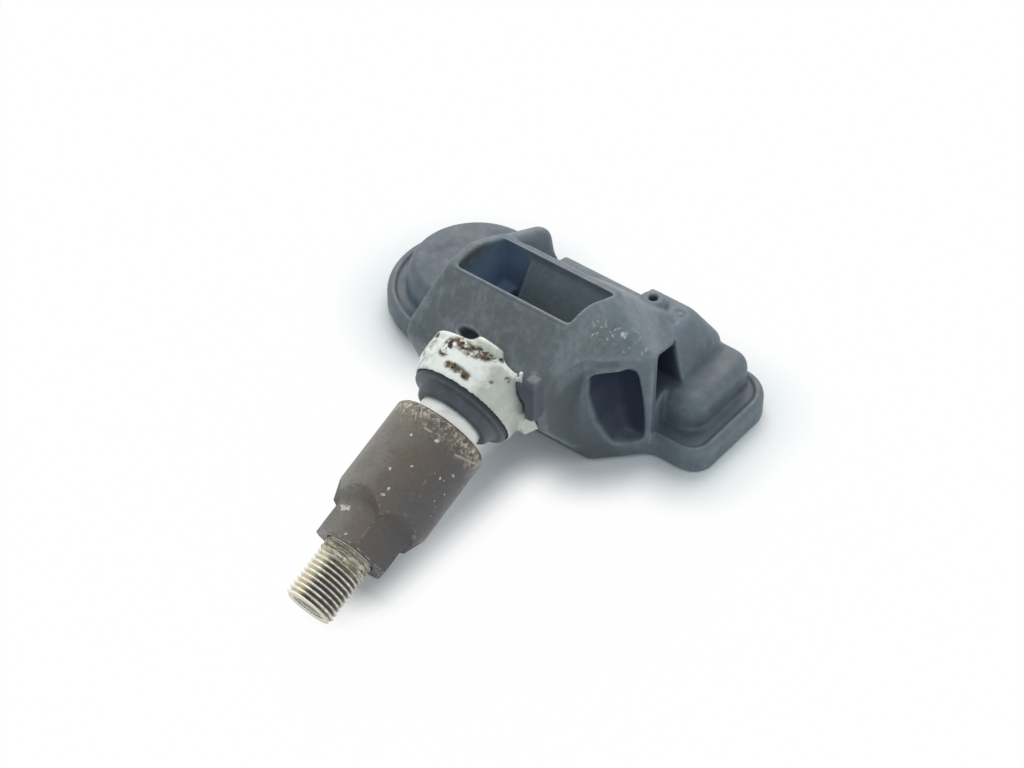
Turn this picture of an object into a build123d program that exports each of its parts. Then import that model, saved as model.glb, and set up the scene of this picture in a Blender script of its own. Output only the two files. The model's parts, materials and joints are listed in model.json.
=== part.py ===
from build123d import *
import os
from math import cos, pi, radians, sin, tan

# Tyre pressure sensor with a clamp-in valve, in millimetres.
# Origin on the base plane, on the base's centre line, in the plane of the valve. +X runs along the housing
# to its square end, +Y to its back and +Z up. The valve leaves towards -Y and slopes down to the base plane.
# "Along" values count from the valve's tip, along its axis. "Rise" values count square to that axis, up.

# General clearances
SEAT_GAP = 0.05
RUN_GAP = 0.08
FLOOR_GAP = 0.03

# Valve axis
VALVE_PITCH = 22.0
SEAT_Y = -30.0
SEAT_ALONG = 40.8

# Valve body
TIP_R = 3.85
TIP_CHAMFER = 0.5
NUT_THREAD_R = 3.6
RELIEF_WIDTH = 0.4
RELIEF_DEPTH = 0.5
SHANK_R = 4.95
SHANK_CHAMFER = 0.5
CHAMBER_R = 2.6
CHAMBER_DEPTH = 21.0
AIR_HOLE_R = 1.0
CUP_BEFORE_SEAT = 2.2
CUP_DEPTH = 2.1
COLLAR_PAST_SEAT = 2.3
COLLAR_R = 8.3
COLLAR_BACK_R = 8.7
CUP_R = 7.9
COLLAR_ROUND = 0.35
HORN_PAST_SEAT = 3.7
HORN_FROM = 56.0
HORN_TO = 92.0
HORN_THICK = 1.6
FIN_BEFORE_SEAT = 2.0
FIN_PAST_SEAT = 1.8
FIN_REACH = 10.7
FIN_LOW = -5.4
FIN_HIGH = -1.6
SPIGOT_R = 2.45
SPIGOT_PAST_SEAT = 6.8
SCREW_BORE_R = 1.5
SCREW_BORE_BEFORE_SEAT = 0.8

# Grommet
LIP_LENGTH = 2.1
LIP_R = 6.1
LIP_TAPER = 0.5
SKIRT_LENGTH = 2.9
SKIRT_TAPER = 0.5

# Union nut and its slip washer
NUT_FACE = 9.7
HEX_LENGTH = 6.2
HEX_ACROSS = 11.0
HEX_CUTTER_R = 4.5
HEX_RUN_OUT = 40.0
NUT_R = 7.35
NUT_BEFORE_LIP = 1.9
NUT_BORE_DEPTH = 13.1
NUT_CHAMFER = 0.4
WASHER_R = 6.8
WASHER_THICK = 1.4

# Valve core
CORE_HEAD = 1.0
CORE_THREAD_R = 2.5
CORE_THREAD_END = 6.5
CORE_TUBE_R = 1.9
CORE_END = 13.9
CORE_SPRING_BORE_R = 1.35
CORE_LEDGE = 9.5
PIN_R = 0.45
PIN_TOP = 0.5
PIN_COLLAR = 2.6
PIN_COLLAR_THICK = 0.5
PIN_COLLAR_R = 1.2
SEAL_R = 1.5
SEAL_THICK = 0.7
POPPET_THICK = 0.8
GASKET_START = 7.2
GASKET_LENGTH = 1.6
SPRING_R = 0.95
SPRING_WIRE_R = 0.14
SPRING_TURNS = 4

# Fixing screw
SCREW_R = 1.45
SCREW_HEAD_R = 2.9
SCREW_HEAD = 2.2
SCREW_PAST_SEAT = 0.7
SCREW_SOCKET_R = 1.3
SCREW_SOCKET_DEPTH = 1.3

# Base flange
CELL_X = -25.0
FLANGE_R = 14.3
FLANGE_H = 4.2
FLANGE_FRONT_Y = -10.8
FLANGE_REAR_Y = 10.4
FLANGE_END_X = 25.7
FLANGE_FRONT_CORNER = 4.0
FLANGE_REAR_CORNER = 6.0
FLANGE_LIP = 1.3
FLANGE_GROOVE = 0.5
FLANGE_ROUND = 0.9

# Lower tier on both wings
STEP_R = 11.0
STEP_FRONT_Y = -6.4
STEP_REAR_Y = 9.2
STEP_END_X = 21.9
STEP_TOP = 9.0
STEP_CORNER = 3.2
STEP_ROUND = 1.6

# Upper tier behind the bridge
BODY_FRONT_Y = -3.2
BODY_REAR_Y = 8.6
BODY_END_X = 17.3
BODY_TOP_END_X = 15.2
BODY_TOP = 16.8
BODY_TOP_REAR_Y = 4.4
BODY_REAR_H = 10.5
BODY_CORNER = 3.0
BODY_ROUND = 2.4
VALLEY_RIGHT_X = 4.6
VALLEY_TOP = 15.0
VALLEY_REAR_Y = 3.8
VALLEY_REAR_H = 8.0
VALLEY_ROUND = 1.4

# Bridge, as a side profile that runs along X
BRIDGE_LEFT_X = -13.0
BRIDGE_RIGHT_X = 11.0
BRIDGE_FOOT_Y = -18.0
BRIDGE_FOOT_H = 1.5
CHIN_DROP = 6.4
NOSE_RISE = 4.6
CROWN_Y = -18.6
CROWN_Z = 30.8
HUMP_Y = 0.8
HUMP_Z = 22.3
HUMP_FOOT_Y = 3.4
CHIN_ROUND = 3.0
NOSE_ROUND = 3.0
CROWN_ROUND = 10.0
HUMP_ROUND = 4.0
BRIDGE_LEFT_EDGE = 0.8
BRIDGE_RIGHT_EDGE = 2.6
BRIDGE_FLARE_Z = 22.0
BRIDGE_WAIST_X = 10.0
BRIDGE_WAIST_Z = 13.0
RIB_THICK = 2.4
REAR_WALL = 1.8

# Shoulder between the bridge and the square wing
WALL_START_Y = -19.0
WEB_X = 17.2
WEB_Y = -11.2
WEB_TOP = 20.6
HIP_TOP = 27.6
HIP_X = 10.0
HIP_Y = -12.0
SHOULDER_ROUND = 1.2
SHOULDER_BLEND = 5.0
RIDGE_ROUND = 0.8

# Window and its cavity
WINDOW_LEFT_X = -11.3
WINDOW_RIGHT_X = 9.0
WINDOW_FRONT_Y = -21.0
WINDOW_REAR_Y = -10.2
WINDOW_RIM = 26.9
CAVITY_FLOOR = 14.6
CAVITY_ROOF_RISE = 3.4
CAVITY_DROP = 5.4
CAVITY_RIGHT_X = 7.2
RAMP_FOOT_Y = -17.2
RAMP_TOP = 26.0
DEEP_RIGHT_X = -6.2
DEEP_FLOOR = 11.0

# Side pocket and end recess of the shoulder
POCKET_LEFT_X = 10.5
POCKET_TOP_X = 15.1
POCKET_FOOT_X = 13.2
POCKET_RIGHT_X = 16.9
POCKET_TOP = 17.7
POCKET_FOOT = 3.3
POCKET_LEFT_H = 13.4
POCKET_BULGE = 1.0
POCKET_BULGE_H = 8.0
POCKET_ROUND = 1.0
RECESS_LEFT_X = 11.6
RECESS_WEB = 1.7
RECESS_ROOF = 1.2

# Jaw beside the collar
JAW_REACH = 0.9
JAW_RIGHT_X = 10.4
JAW_DEPTH = 1.7
JAW_LOW = 17.4
JAW_TOP = 24.3
JAW_ROUND = 0.4

# Pressure port
PORT_X = 8.0
PORT_Y = 1.2
PORT_R = 2.2
PORT_TOP = 18.2
PORT_HOLE_R = 0.7
PORT_CHAMFER = 0.6

# Inside of the housing
COVER_THICK = 1.2
COVER_INSET = 1.6
WALL = 1.4
CELL_R = 10.0
CELL_THICK = 3.2
CELL_GAP = 0.4
CELL_CHAMFER = 0.6
TRAY_TOP = 7.4

# Electronics
BOARD_THICK = 1.0
BOARD_LEFT_X = -14.6
BOARD_GAP = 0.3
STACK_GAP = 0.02
TAB_THICK = 0.25
TAB_WIDTH = 3.0
TAB_FOOT = 2.4
CHIP_SIZE = (7.0, 6.0, 2.4)
COIL_CORE_SIZE = (9.0, 1.8, 1.8)
COIL_WINDING_SIZE = (6.0, 3.4, 3.0)
COIL_X = -6.0
COIL_Y = 3.0
CRYSTAL_SIZE = (5.0, 3.2, 1.2)
CRYSTAL_X = 15.0
CAPACITOR_SIZE = (1.6, 0.8, 0.8)
CAPACITOR_PITCH = 2.4
CAPACITOR_COUNT = 4
CAPACITOR_X = -1.0
CAPACITOR_Y = -2.6
ANTENNA_SIZE = (12.0, 0.8, 3.2)
ANTENNA_X = 13.0
ANTENNA_Y = 5.6

# Values worked out from the sizes above
PITCH_COS = cos(radians(VALVE_PITCH))
PITCH_SIN = sin(radians(VALVE_PITCH))
TIP_Y = SEAT_Y - SEAT_ALONG * PITCH_COS
TIP_Z = TIP_R * PITCH_COS + FLOOR_GAP
# Valve frame: X stays X, Z runs along the valve and Y points down, against the rise
VALVE = Plane(origin=(0, TIP_Y, TIP_Z), x_dir=(1, 0, 0), z_dir=(0, PITCH_COS, PITCH_SIN))
WALL_START = (BRIDGE_WAIST_X, WALL_START_Y)
JAW_FRONT_Y = SEAT_Y - JAW_REACH
# Places along the valve, all set from the seat
CUP_FLOOR = SEAT_ALONG - CUP_BEFORE_SEAT
COLLAR_FRONT = CUP_FLOOR - CUP_DEPTH
COLLAR_BACK = SEAT_ALONG + COLLAR_PAST_SEAT
HORN_END = SEAT_ALONG + HORN_PAST_SEAT
FIN_FRONT = SEAT_ALONG - FIN_BEFORE_SEAT
FIN_BACK = SEAT_ALONG + FIN_PAST_SEAT
SPIGOT_END = SEAT_ALONG + SPIGOT_PAST_SEAT
SCREW_BORE_START = SEAT_ALONG - SCREW_BORE_BEFORE_SEAT
SCREW_START = SEAT_ALONG + SCREW_PAST_SEAT
SKIRT_FRONT = CUP_FLOOR - SKIRT_LENGTH
LIP_FRONT = SKIRT_FRONT - LIP_LENGTH
NUT_RIM = LIP_FRONT - NUT_BEFORE_LIP
NUT_STEP = NUT_RIM - NUT_BORE_DEPTH
HEX_END = NUT_FACE + HEX_LENGTH


def side(along, rise):
    """Side view point (y, z) at a distance along the valve's axis and a rise square to it."""
    return (TIP_Y + along * PITCH_COS - rise * PITCH_SIN, TIP_Z + along * PITCH_SIN + rise * PITCH_COS)


def turned(points):
    """Solid of revolution about the valve's axis from (radius, along) points."""
    profile = make_face(Polyline(*[(r, 0, s) for r, s in points], close=True))
    return VALVE * revolve(profile, Axis.Z)


def along_valve(sketch, start, end):
    """Prism of a sketch square to the valve's axis, between two distances along it."""
    return VALVE * Pos(0, 0, start) * extrude(sketch, end - start)


def side_prism(points, left, right):
    """Prism of a side view outline of (y, z) points, between two places on X."""
    outline = make_face(Polyline(*points, close=True))
    return Pos(left, 0, 0) * extrude(Plane.YZ * outline, right - left)


def front_prism(points, front, back):
    """Prism of a front view outline of (x, z) points, between two places on Y."""
    outline = make_face(Polyline(*points, close=True))
    return Pos(0, back, 0) * extrude(Plane.XZ * outline, back - front)


def box(x_low, x_high, y_low, y_high, z_low, z_high):
    """Box between two corners."""
    centre = Pos((x_low + x_high) / 2, (y_low + y_high) / 2, (z_low + z_high) / 2)
    return centre * Box(x_high - x_low, y_high - y_low, z_high - z_low)


def under(first, second, third):
    """Block of space under the plane through three points."""
    a, b, c = Vector(*first), Vector(*second), Vector(*third)
    normal = (b - a).cross(c - a)
    if normal.Z < 0:
        normal = normal * -1
    span = 2 * (FLANGE_END_X + FLANGE_R - CELL_X)
    block = Box(span, span, span, align=(Align.CENTER, Align.CENTER, Align.MAX))
    return Plane(origin=a, z_dir=normal) * block


def eased(solid, radius):
    """A tier with its upper outer edge rounded off in two flats."""
    top = solid.faces().sort_by(Axis.Z)[-1]
    height = top.center().Z
    drop = radius * tan(pi / 8)
    solid = chamfer(top.outer_wire().edges(), radius, drop, reference=top)
    low = solid.edges().filter_by(lambda e: abs(e.center().Z - height + drop) < SEAT_GAP)
    return chamfer(low, drop)


def corner(sketch, point):
    """The vertex of a sketch nearest to a point."""
    return sketch.vertices().sort_by_distance(Vector(*point))[0]


# Outlines


def flange_outline():
    """Base outline: a round end for the cell and a square end with rounded corners."""
    block = make_face(Polyline((CELL_X, FLANGE_FRONT_Y), (FLANGE_END_X, FLANGE_FRONT_Y),
                               (FLANGE_END_X, FLANGE_REAR_Y), (CELL_X, FLANGE_REAR_Y), close=True))
    block = fillet(corner(block, (FLANGE_END_X, FLANGE_FRONT_Y)), FLANGE_FRONT_CORNER)
    block = fillet(corner(block, (FLANGE_END_X, FLANGE_REAR_Y)), FLANGE_REAR_CORNER)
    return Pos(CELL_X, 0) * Circle(FLANGE_R) + block


def bridge_outline(grow=0.0):
    """Side view of the bridge: undercut chin, seat face square to the valve, nose, crown and rear hump."""
    chin = side(SEAT_ALONG, -CHIN_DROP)
    nose = side(SEAT_ALONG, NOSE_RISE)
    crown = (CROWN_Y, CROWN_Z)
    hump = (HUMP_Y, HUMP_Z)
    outline = make_face(Polyline((BRIDGE_FOOT_Y, 0), (BRIDGE_FOOT_Y, BRIDGE_FOOT_H), chin, nose, crown, hump,
                                 (HUMP_FOOT_Y, STEP_TOP), (HUMP_FOOT_Y, 0), close=True))
    rounds = ((chin, CHIN_ROUND), (nose, NOSE_ROUND), (crown, CROWN_ROUND), (hump, HUMP_ROUND))
    for point, radius in rounds:
        outline = fillet(corner(outline, point), radius)
    return offset(outline, grow) if grow else outline


def bridge_bar(left, right, grow=0.0):
    """The bridge's side view as a bar between two places on X."""
    return Pos(left, 0, 0) * extrude(Plane.YZ * bridge_outline(grow), right - left)


# Housing


def wing_tiers():
    """Flange with a raised lip, the lower tier on both wings and the upper tier behind the bridge."""
    outline = flange_outline()
    flange = extrude(outline, FLANGE_H)
    flange = eased(flange, FLANGE_ROUND)
    flange -= Pos(0, 0, FLANGE_H - FLANGE_GROOVE) * extrude(offset(outline, -FLANGE_LIP), FLANGE_H)

    block = make_face(Polyline((CELL_X, STEP_FRONT_Y), (STEP_END_X, STEP_FRONT_Y),
                               (STEP_END_X, STEP_REAR_Y), (CELL_X, STEP_REAR_Y), close=True))
    for y in (STEP_FRONT_Y, STEP_REAR_Y):
        block = fillet(corner(block, (STEP_END_X, y)), STEP_CORNER)
    step = extrude(Pos(CELL_X, 0) * Circle(STEP_R) + block, STEP_TOP)
    step = eased(step, STEP_ROUND)

    body = side_prism([(BODY_FRONT_Y, 0), (BODY_FRONT_Y, BODY_TOP), (BODY_TOP_REAR_Y, BODY_TOP),
                       (BODY_REAR_Y, BODY_REAR_H), (BODY_REAR_Y, 0)], VALLEY_RIGHT_X, 2 * BODY_END_X)
    lean = (BODY_END_X - BODY_TOP_END_X) / (BODY_TOP - STEP_TOP)
    body &= front_prism([(VALLEY_RIGHT_X, 0), (BODY_END_X + STEP_TOP * lean, 0), (BODY_TOP_END_X, BODY_TOP),
                         (VALLEY_RIGHT_X, BODY_TOP)], BODY_FRONT_Y, BODY_REAR_Y)
    end = body.faces().sort_by(Axis.X)[-1]
    body = fillet(end.edges().filter_by(lambda e: e.center().Y > BODY_TOP_REAR_Y), BODY_CORNER)
    top = body.faces().sort_by(Axis.Z)[-1]
    body = fillet(top.edges().filter_by(lambda e: e.center().Y > BODY_FRONT_Y + SEAT_GAP), BODY_ROUND)
    valley = side_prism([(BODY_FRONT_Y, 0), (BODY_FRONT_Y, VALLEY_TOP), (VALLEY_REAR_Y, VALLEY_TOP),
                         (BODY_REAR_Y, VALLEY_REAR_H), (BODY_REAR_Y, 0)],
                        BRIDGE_LEFT_X + RIB_THICK, VALLEY_RIGHT_X)
    valley = fillet(valley.faces().sort_by(Axis.Z)[-1].edges().sort_by(Axis.Y)[-1], VALLEY_ROUND)
    return flange + step + body + valley


def bridge():
    """Bridge with its left rib carried over the back, and the valley behind the window's rear wall."""
    arch = bridge_bar(BRIDGE_LEFT_X, BRIDGE_RIGHT_X)
    for place, radius in ((0, BRIDGE_LEFT_EDGE), (-1, BRIDGE_RIGHT_EDGE)):
        rim = arch.faces().filter_by(Plane.YZ).sort_by(Axis.X)[place].edges()
        arch = fillet(rim.filter_by(lambda e: e.center().Z > STEP_TOP and e.center().Y < HUMP_Y), radius)
    arch -= box(BRIDGE_LEFT_X + RIB_THICK, BRIDGE_RIGHT_X + WEB_X,
                WINDOW_REAR_Y + REAR_WALL, HUMP_FOOT_Y + BODY_REAR_Y, STEP_TOP, CROWN_Z)
    outside = 2 * BRIDGE_RIGHT_X
    waist = front_prism([(BRIDGE_RIGHT_X, BRIDGE_FLARE_Z), (BRIDGE_WAIST_X, BRIDGE_WAIST_Z),
                         (BRIDGE_WAIST_X, 0), (outside, 0), (outside, BRIDGE_FLARE_Z)],
                        2 * SEAT_Y, BODY_FRONT_Y)
    return arch - waist


def hip_points(drop=0.0):
    """Three points of the shoulder's back slope, which falls from the hip to the web and the upper tier."""
    return ((HIP_X, HIP_Y, HIP_TOP - drop), (WEB_X, WEB_Y, WEB_TOP - drop),
            (BODY_TOP_END_X, BODY_FRONT_Y, BODY_TOP - drop))


def shoulder():
    """Hipped block that falls from the bridge to the web and the upper tier, with an oblique front wall."""
    plan = make_face(Polyline((0, SEAT_Y), (BRIDGE_WAIST_X, SEAT_Y), WALL_START, (WEB_X, WEB_Y),
                              (BODY_TOP_END_X, BODY_FRONT_Y), (BODY_TOP_END_X, PORT_Y), (0, PORT_Y),
                              close=True))
    plan = fillet(corner(plan, WALL_START), SHOULDER_BLEND)
    plan = fillet(corner(plan, (WEB_X, WEB_Y)), SHOULDER_ROUND)
    block = extrude(plan, CROWN_Z) & bridge_bar(0, WEB_X)
    block &= under((*WALL_START, WEB_TOP), (WEB_X, WEB_Y, WEB_TOP), (HIP_X, HIP_Y, HIP_TOP))
    block &= under(*hip_points())
    block &= under((0, WINDOW_REAR_Y, HIP_TOP), (WEB_X, WINDOW_REAR_Y, HIP_TOP), (0, PORT_Y, BODY_TOP))
    ridges = block.edges().filter_by(lambda e: BRIDGE_WAIST_X < e.center().X < WEB_X)
    ridge = ridges.filter_by(lambda e: abs(e.center().Z - WEB_TOP) < SEAT_GAP and e.center().Y < WEB_Y)
    return fillet(ridge, RIDGE_ROUND)


def jaw():
    """Upright jaw at the bridge's right end that stops the collar from turning."""
    left = COLLAR_BACK_R + SEAT_GAP
    block = box(left, JAW_RIGHT_X, JAW_FRONT_Y, JAW_FRONT_Y + JAW_DEPTH, JAW_LOW, JAW_TOP)
    return fillet(block.edges().sort_by(Axis.Y)[0:4], JAW_ROUND)


def window_cavity():
    """Window in the crown, with a ramp at its back, a leaning right wall and a deeper left well."""
    front = [(WINDOW_FRONT_Y, 2 * CROWN_Z), (WINDOW_FRONT_Y, WINDOW_RIM), side(SPIGOT_END, CAVITY_ROOF_RISE),
             side(SPIGOT_END, -CAVITY_DROP)]
    foot = front[-1][0]
    ramp = side_prism(front + [(foot, CAVITY_FLOOR), (RAMP_FOOT_Y, CAVITY_FLOOR), (WINDOW_REAR_Y, RAMP_TOP),
                               (WINDOW_REAR_Y, 2 * CROWN_Z)], WINDOW_LEFT_X, WINDOW_RIGHT_X)
    ramp -= front_prism([(WINDOW_RIGHT_X, WINDOW_RIM), (CAVITY_RIGHT_X, CAVITY_FLOOR),
                         (WINDOW_RIGHT_X, CAVITY_FLOOR)], SEAT_Y, WINDOW_REAR_Y)
    well = side_prism(front + [(foot, DEEP_FLOOR), (WINDOW_REAR_Y, DEEP_FLOOR),
                               (WINDOW_REAR_Y, 2 * CROWN_Z)], WINDOW_LEFT_X, DEEP_RIGHT_X)
    return ramp + well


def side_pocket():
    """Rounded pocket in the oblique wall, cored straight back, so that its depth runs out at the right."""
    outline = make_face(Polyline((POCKET_LEFT_X, POCKET_TOP), (POCKET_TOP_X, POCKET_TOP),
                                 (POCKET_RIGHT_X, POCKET_FOOT), (POCKET_FOOT_X, POCKET_FOOT),
                                 (POCKET_LEFT_X + POCKET_BULGE, POCKET_BULGE_H),
                                 (POCKET_LEFT_X, POCKET_LEFT_H), close=True))
    outline = fillet(outline.vertices(), POCKET_ROUND)
    return Pos(0, WEB_Y, 0) * extrude(Plane.XZ * outline, WEB_Y - SEAT_Y)


def end_recess():
    """Core-out between the web and the upper tier, under the back slope and open to the square end."""
    block = box(RECESS_LEFT_X, WEB_X + STEP_END_X, WEB_Y + RECESS_WEB, BODY_FRONT_Y, STEP_TOP, CROWN_Z)
    return block & under(*hip_points(RECESS_ROOF))


def port_boss():
    """Pressure port: a low boss on the upper tier."""
    boss = Pos(PORT_X, PORT_Y, STEP_TOP) * extrude(Circle(PORT_R), PORT_TOP - STEP_TOP)
    return chamfer(boss.edges().group_by(Axis.Z)[-1], PORT_CHAMFER)


def inside():
    """Tray for the electronics, round well for the cell and the seat of the base cover."""
    cover_seat = extrude(offset(flange_outline(), -COVER_INSET), COVER_THICK)
    well = Pos(CELL_X, 0, 0) * extrude(Circle(CELL_R + CELL_GAP), STEP_TOP - WALL)
    tray = box(CELL_X, STEP_END_X - WALL, STEP_FRONT_Y + WALL, STEP_REAR_Y - WALL, 0, TRAY_TOP)
    return cover_seat + well + tray


def housing():
    """The moulded housing, one piece."""
    solid = wing_tiers() + bridge() + shoulder() + jaw() + port_boss()
    solid -= window_cavity()
    solid -= side_pocket()
    solid -= end_recess()
    solid -= inside()
    solid -= along_valve(Circle(SPIGOT_R + SEAT_GAP), LIP_FRONT, SPIGOT_END)
    solid -= Pos(PORT_X, PORT_Y, 0) * extrude(Circle(PORT_HOLE_R), PORT_TOP + PORT_R)
    return solid


def base_cover():
    """Lid of the base, set flush into its seat."""
    return extrude(offset(flange_outline(), -COVER_INSET - SEAT_GAP), COVER_THICK)


# Valve


def collar_edges():
    """Uneven back of the cast collar: a horn over the nose and a fin on each side."""
    inner = COLLAR_BACK_R - HORN_THICK
    sector = Circle(COLLAR_BACK_R) - Circle(inner)
    reach = 2 * COLLAR_BACK_R
    ends = [(reach * cos(radians(a)), -reach * sin(radians(a))) for a in (HORN_FROM, HORN_TO)]
    wedge = make_face(Polyline((0, 0), *ends, close=True))
    solid = along_valve(sector & wedge, CUP_FLOOR, HORN_END)
    for hand in (-1, 1):
        fin = make_face(Polyline((hand * inner, FIN_FRONT), (hand * COLLAR_R, FIN_FRONT),
                                 (hand * FIN_REACH, FIN_BACK), (hand * inner, FIN_BACK), close=True))
        solid += VALVE * Pos(0, -FIN_LOW, 0) * extrude(Plane.XZ * fin, FIN_HIGH - FIN_LOW)
    return solid


def valve_body():
    """Turned stem with a relief between its threads, and a cast collar whose back follows the bridge."""
    relief = NUT_FACE - SEAT_GAP
    solid = turned([(CHAMBER_R, 0), (TIP_R - TIP_CHAMFER, 0), (TIP_R, TIP_CHAMFER),
                    (TIP_R, relief - RELIEF_WIDTH),
                    (TIP_R - RELIEF_DEPTH, relief - RELIEF_WIDTH), (TIP_R - RELIEF_DEPTH, relief),
                    (NUT_THREAD_R, relief), (NUT_THREAD_R, NUT_STEP + SHANK_CHAMFER),
                    (SHANK_R - SHANK_CHAMFER, NUT_STEP + SHANK_CHAMFER),
                    (SHANK_R, NUT_STEP + 2 * SHANK_CHAMFER),
                    (SHANK_R, CUP_FLOOR), (CUP_R, CUP_FLOOR), (CUP_R, COLLAR_FRONT),
                    (COLLAR_R - COLLAR_ROUND / 2, COLLAR_FRONT), (COLLAR_R, COLLAR_FRONT + COLLAR_ROUND),
                    (COLLAR_BACK_R, COLLAR_BACK), (AIR_HOLE_R, COLLAR_BACK), (AIR_HOLE_R, CHAMBER_DEPTH),
                    (CHAMBER_R, CHAMBER_DEPTH - CHAMBER_R + AIR_HOLE_R)])
    solid += collar_edges()
    solid -= bridge_bar(BRIDGE_LEFT_X, BRIDGE_RIGHT_X, SEAT_GAP)
    spigot = along_valve(Circle(SPIGOT_R), CUP_FLOOR, SPIGOT_END - SEAT_GAP)
    bore = along_valve(Circle(SCREW_BORE_R), SCREW_BORE_START, SPIGOT_END)
    air = along_valve(Circle(AIR_HOLE_R), CHAMBER_DEPTH, SCREW_BORE_START)
    return solid + spigot - bore - air


def grommet():
    """Rubber seal: a lip round the shank and a skirt that fills the collar's cup."""
    bore = SHANK_R + SEAT_GAP
    skirt = CUP_R - SEAT_GAP
    back = CUP_FLOOR - SEAT_GAP
    return turned([(bore, LIP_FRONT), (LIP_R - LIP_TAPER, LIP_FRONT), (LIP_R, LIP_FRONT + LIP_TAPER),
                   (LIP_R + LIP_TAPER, SKIRT_FRONT), (skirt - SKIRT_TAPER, SKIRT_FRONT),
                   (skirt, SKIRT_FRONT + SKIRT_TAPER), (skirt, back), (bore, back)])


def union_nut():
    """Long nut: a cylinder towards the wheel and a hexagon towards the tip."""
    flat = HEX_ACROSS / 2
    corner_r = flat / cos(pi / 6)
    thread = TIP_R + RUN_GAP
    shank = SHANK_R + RUN_GAP
    seat = WASHER_R + RUN_GAP
    solid = turned([(thread, NUT_FACE), (corner_r - NUT_CHAMFER, NUT_FACE),
                    (NUT_R, NUT_FACE + NUT_R - corner_r), (NUT_R, NUT_RIM - NUT_CHAMFER),
                    (NUT_R - NUT_CHAMFER, NUT_RIM), (seat, NUT_RIM),
                    (seat, NUT_RIM - WASHER_THICK), (shank, NUT_RIM - WASHER_THICK), (shank, NUT_STEP),
                    (thread, NUT_STEP)])
    end = HEX_END - HEX_CUTTER_R
    cutter = Pos(end, 0) * Circle(HEX_CUTTER_R) + Pos(end / 2, 0) * Rectangle(end, 2 * HEX_CUTTER_R)
    for i in range(6):
        face = Plane(origin=(0, flat, 0), x_dir=(0, 0, 1), z_dir=(0, 1, 0))
        solid -= VALVE * Rot(0, 0, 60 * i) * (face * extrude(cutter, NUT_R, taper=-HEX_RUN_OUT))
    return solid


def slip_washer():
    """Ring that turns freely in the nut's rim and presses on the wheel."""
    inner = SHANK_R + RUN_GAP
    start = NUT_RIM - WASHER_THICK + SEAT_GAP
    return turned([(inner, start), (WASHER_R, start), (WASHER_R, NUT_RIM), (inner, NUT_RIM)])


def core_barrel():
    """Threaded head and tube of the valve core."""
    guide = PIN_R + RUN_GAP
    return turned([(CORE_SPRING_BORE_R, CORE_HEAD), (CORE_THREAD_R, CORE_HEAD),
                   (CORE_THREAD_R, CORE_THREAD_END), (CORE_TUBE_R, CORE_THREAD_END),
                   (CORE_TUBE_R, CORE_END), (guide, CORE_END),
                   (guide, CORE_LEDGE), (CORE_SPRING_BORE_R, CORE_LEDGE)])


def core_gasket():
    """Sealing ring on the core's tube."""
    inner = CORE_TUBE_R + SEAT_GAP
    outer = CHAMBER_R - SEAT_GAP
    return turned([(inner, GASKET_START), (outer, GASKET_START), (outer, GASKET_START + GASKET_LENGTH),
                   (inner, GASKET_START + GASKET_LENGTH)])


def core_pin():
    """Pin with a spring collar near its top and a poppet at its foot."""
    seal_end = CORE_END + SEAL_THICK
    foot = seal_end + SEAT_GAP
    return turned([(0, PIN_TOP), (PIN_R, PIN_TOP), (PIN_R, PIN_COLLAR - PIN_COLLAR_THICK),
                   (PIN_COLLAR_R, PIN_COLLAR - PIN_COLLAR_THICK), (PIN_COLLAR_R, PIN_COLLAR),
                   (PIN_R, PIN_COLLAR), (PIN_R, foot), (SEAL_R, foot),
                   (SEAL_R, foot + POPPET_THICK), (0, foot + POPPET_THICK)])


def core_seal():
    """Rubber disc on the poppet, against the tube's end."""
    inner = PIN_R + SEAT_GAP
    start = CORE_END + SEAT_GAP / 2
    end = CORE_END + SEAL_THICK
    return turned([(inner, start), (SEAL_R, start), (SEAL_R, end), (inner, end)])


def core_spring():
    """Coil spring between the pin's collar and the barrel's ledge."""
    start = PIN_COLLAR + SPRING_WIRE_R + SEAT_GAP
    length = CORE_LEDGE - SPRING_WIRE_R - SEAT_GAP - start
    path = Helix(pitch=length / SPRING_TURNS, height=length, radius=SPRING_R)
    wire = Plane(origin=path @ 0, z_dir=path % 0) * RegularPolygon(SPRING_WIRE_R, 4)
    return VALVE * Pos(0, 0, start) * sweep(wire, path)


def fixing_screw():
    """Screw with a six-sided socket that draws the valve onto the bridge."""
    head = SPIGOT_END + SEAT_GAP
    solid = turned([(0, SCREW_START), (SCREW_R, SCREW_START), (SCREW_R, head), (SCREW_HEAD_R, head),
                    (SCREW_HEAD_R, head + SCREW_HEAD), (0, head + SCREW_HEAD)])
    socket = RegularPolygon(SCREW_SOCKET_R, 6)
    return solid - along_valve(socket, head + SCREW_HEAD - SCREW_SOCKET_DEPTH, head + SCREW_HEAD)


# Electronics

BOARD_LOW = COVER_THICK + BOARD_GAP
BOARD_TOP = BOARD_LOW + BOARD_THICK
PART_LOW = BOARD_TOP + STACK_GAP
CELL_LOW = PART_LOW + TAB_THICK + STACK_GAP
CELL_TOP = CELL_LOW + CELL_THICK
BOARD_RIGHT_X = STEP_END_X - WALL - BOARD_GAP
TAB_Y = -STEP_FRONT_Y - WALL - BOARD_GAP - TAB_WIDTH / 2


def on_board(x, y, size):
    """Block that stands on the board."""
    return Pos(x, y, PART_LOW) * Box(*size, align=(Align.CENTER, Align.CENTER, Align.MIN))


def circuit_board():
    """Board over the length of the tray."""
    return box(BOARD_LEFT_X, BOARD_RIGHT_X, STEP_FRONT_Y + WALL + BOARD_GAP, STEP_REAR_Y - WALL - BOARD_GAP,
               BOARD_LOW, BOARD_TOP)


def battery_cell():
    """Coin cell with a chamfered can."""
    cell = Pos(CELL_X, 0, CELL_LOW) * extrude(Circle(CELL_R), CELL_THICK)
    return chamfer(cell.edges().group_by(Axis.Z)[0], CELL_CHAMFER)


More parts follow.
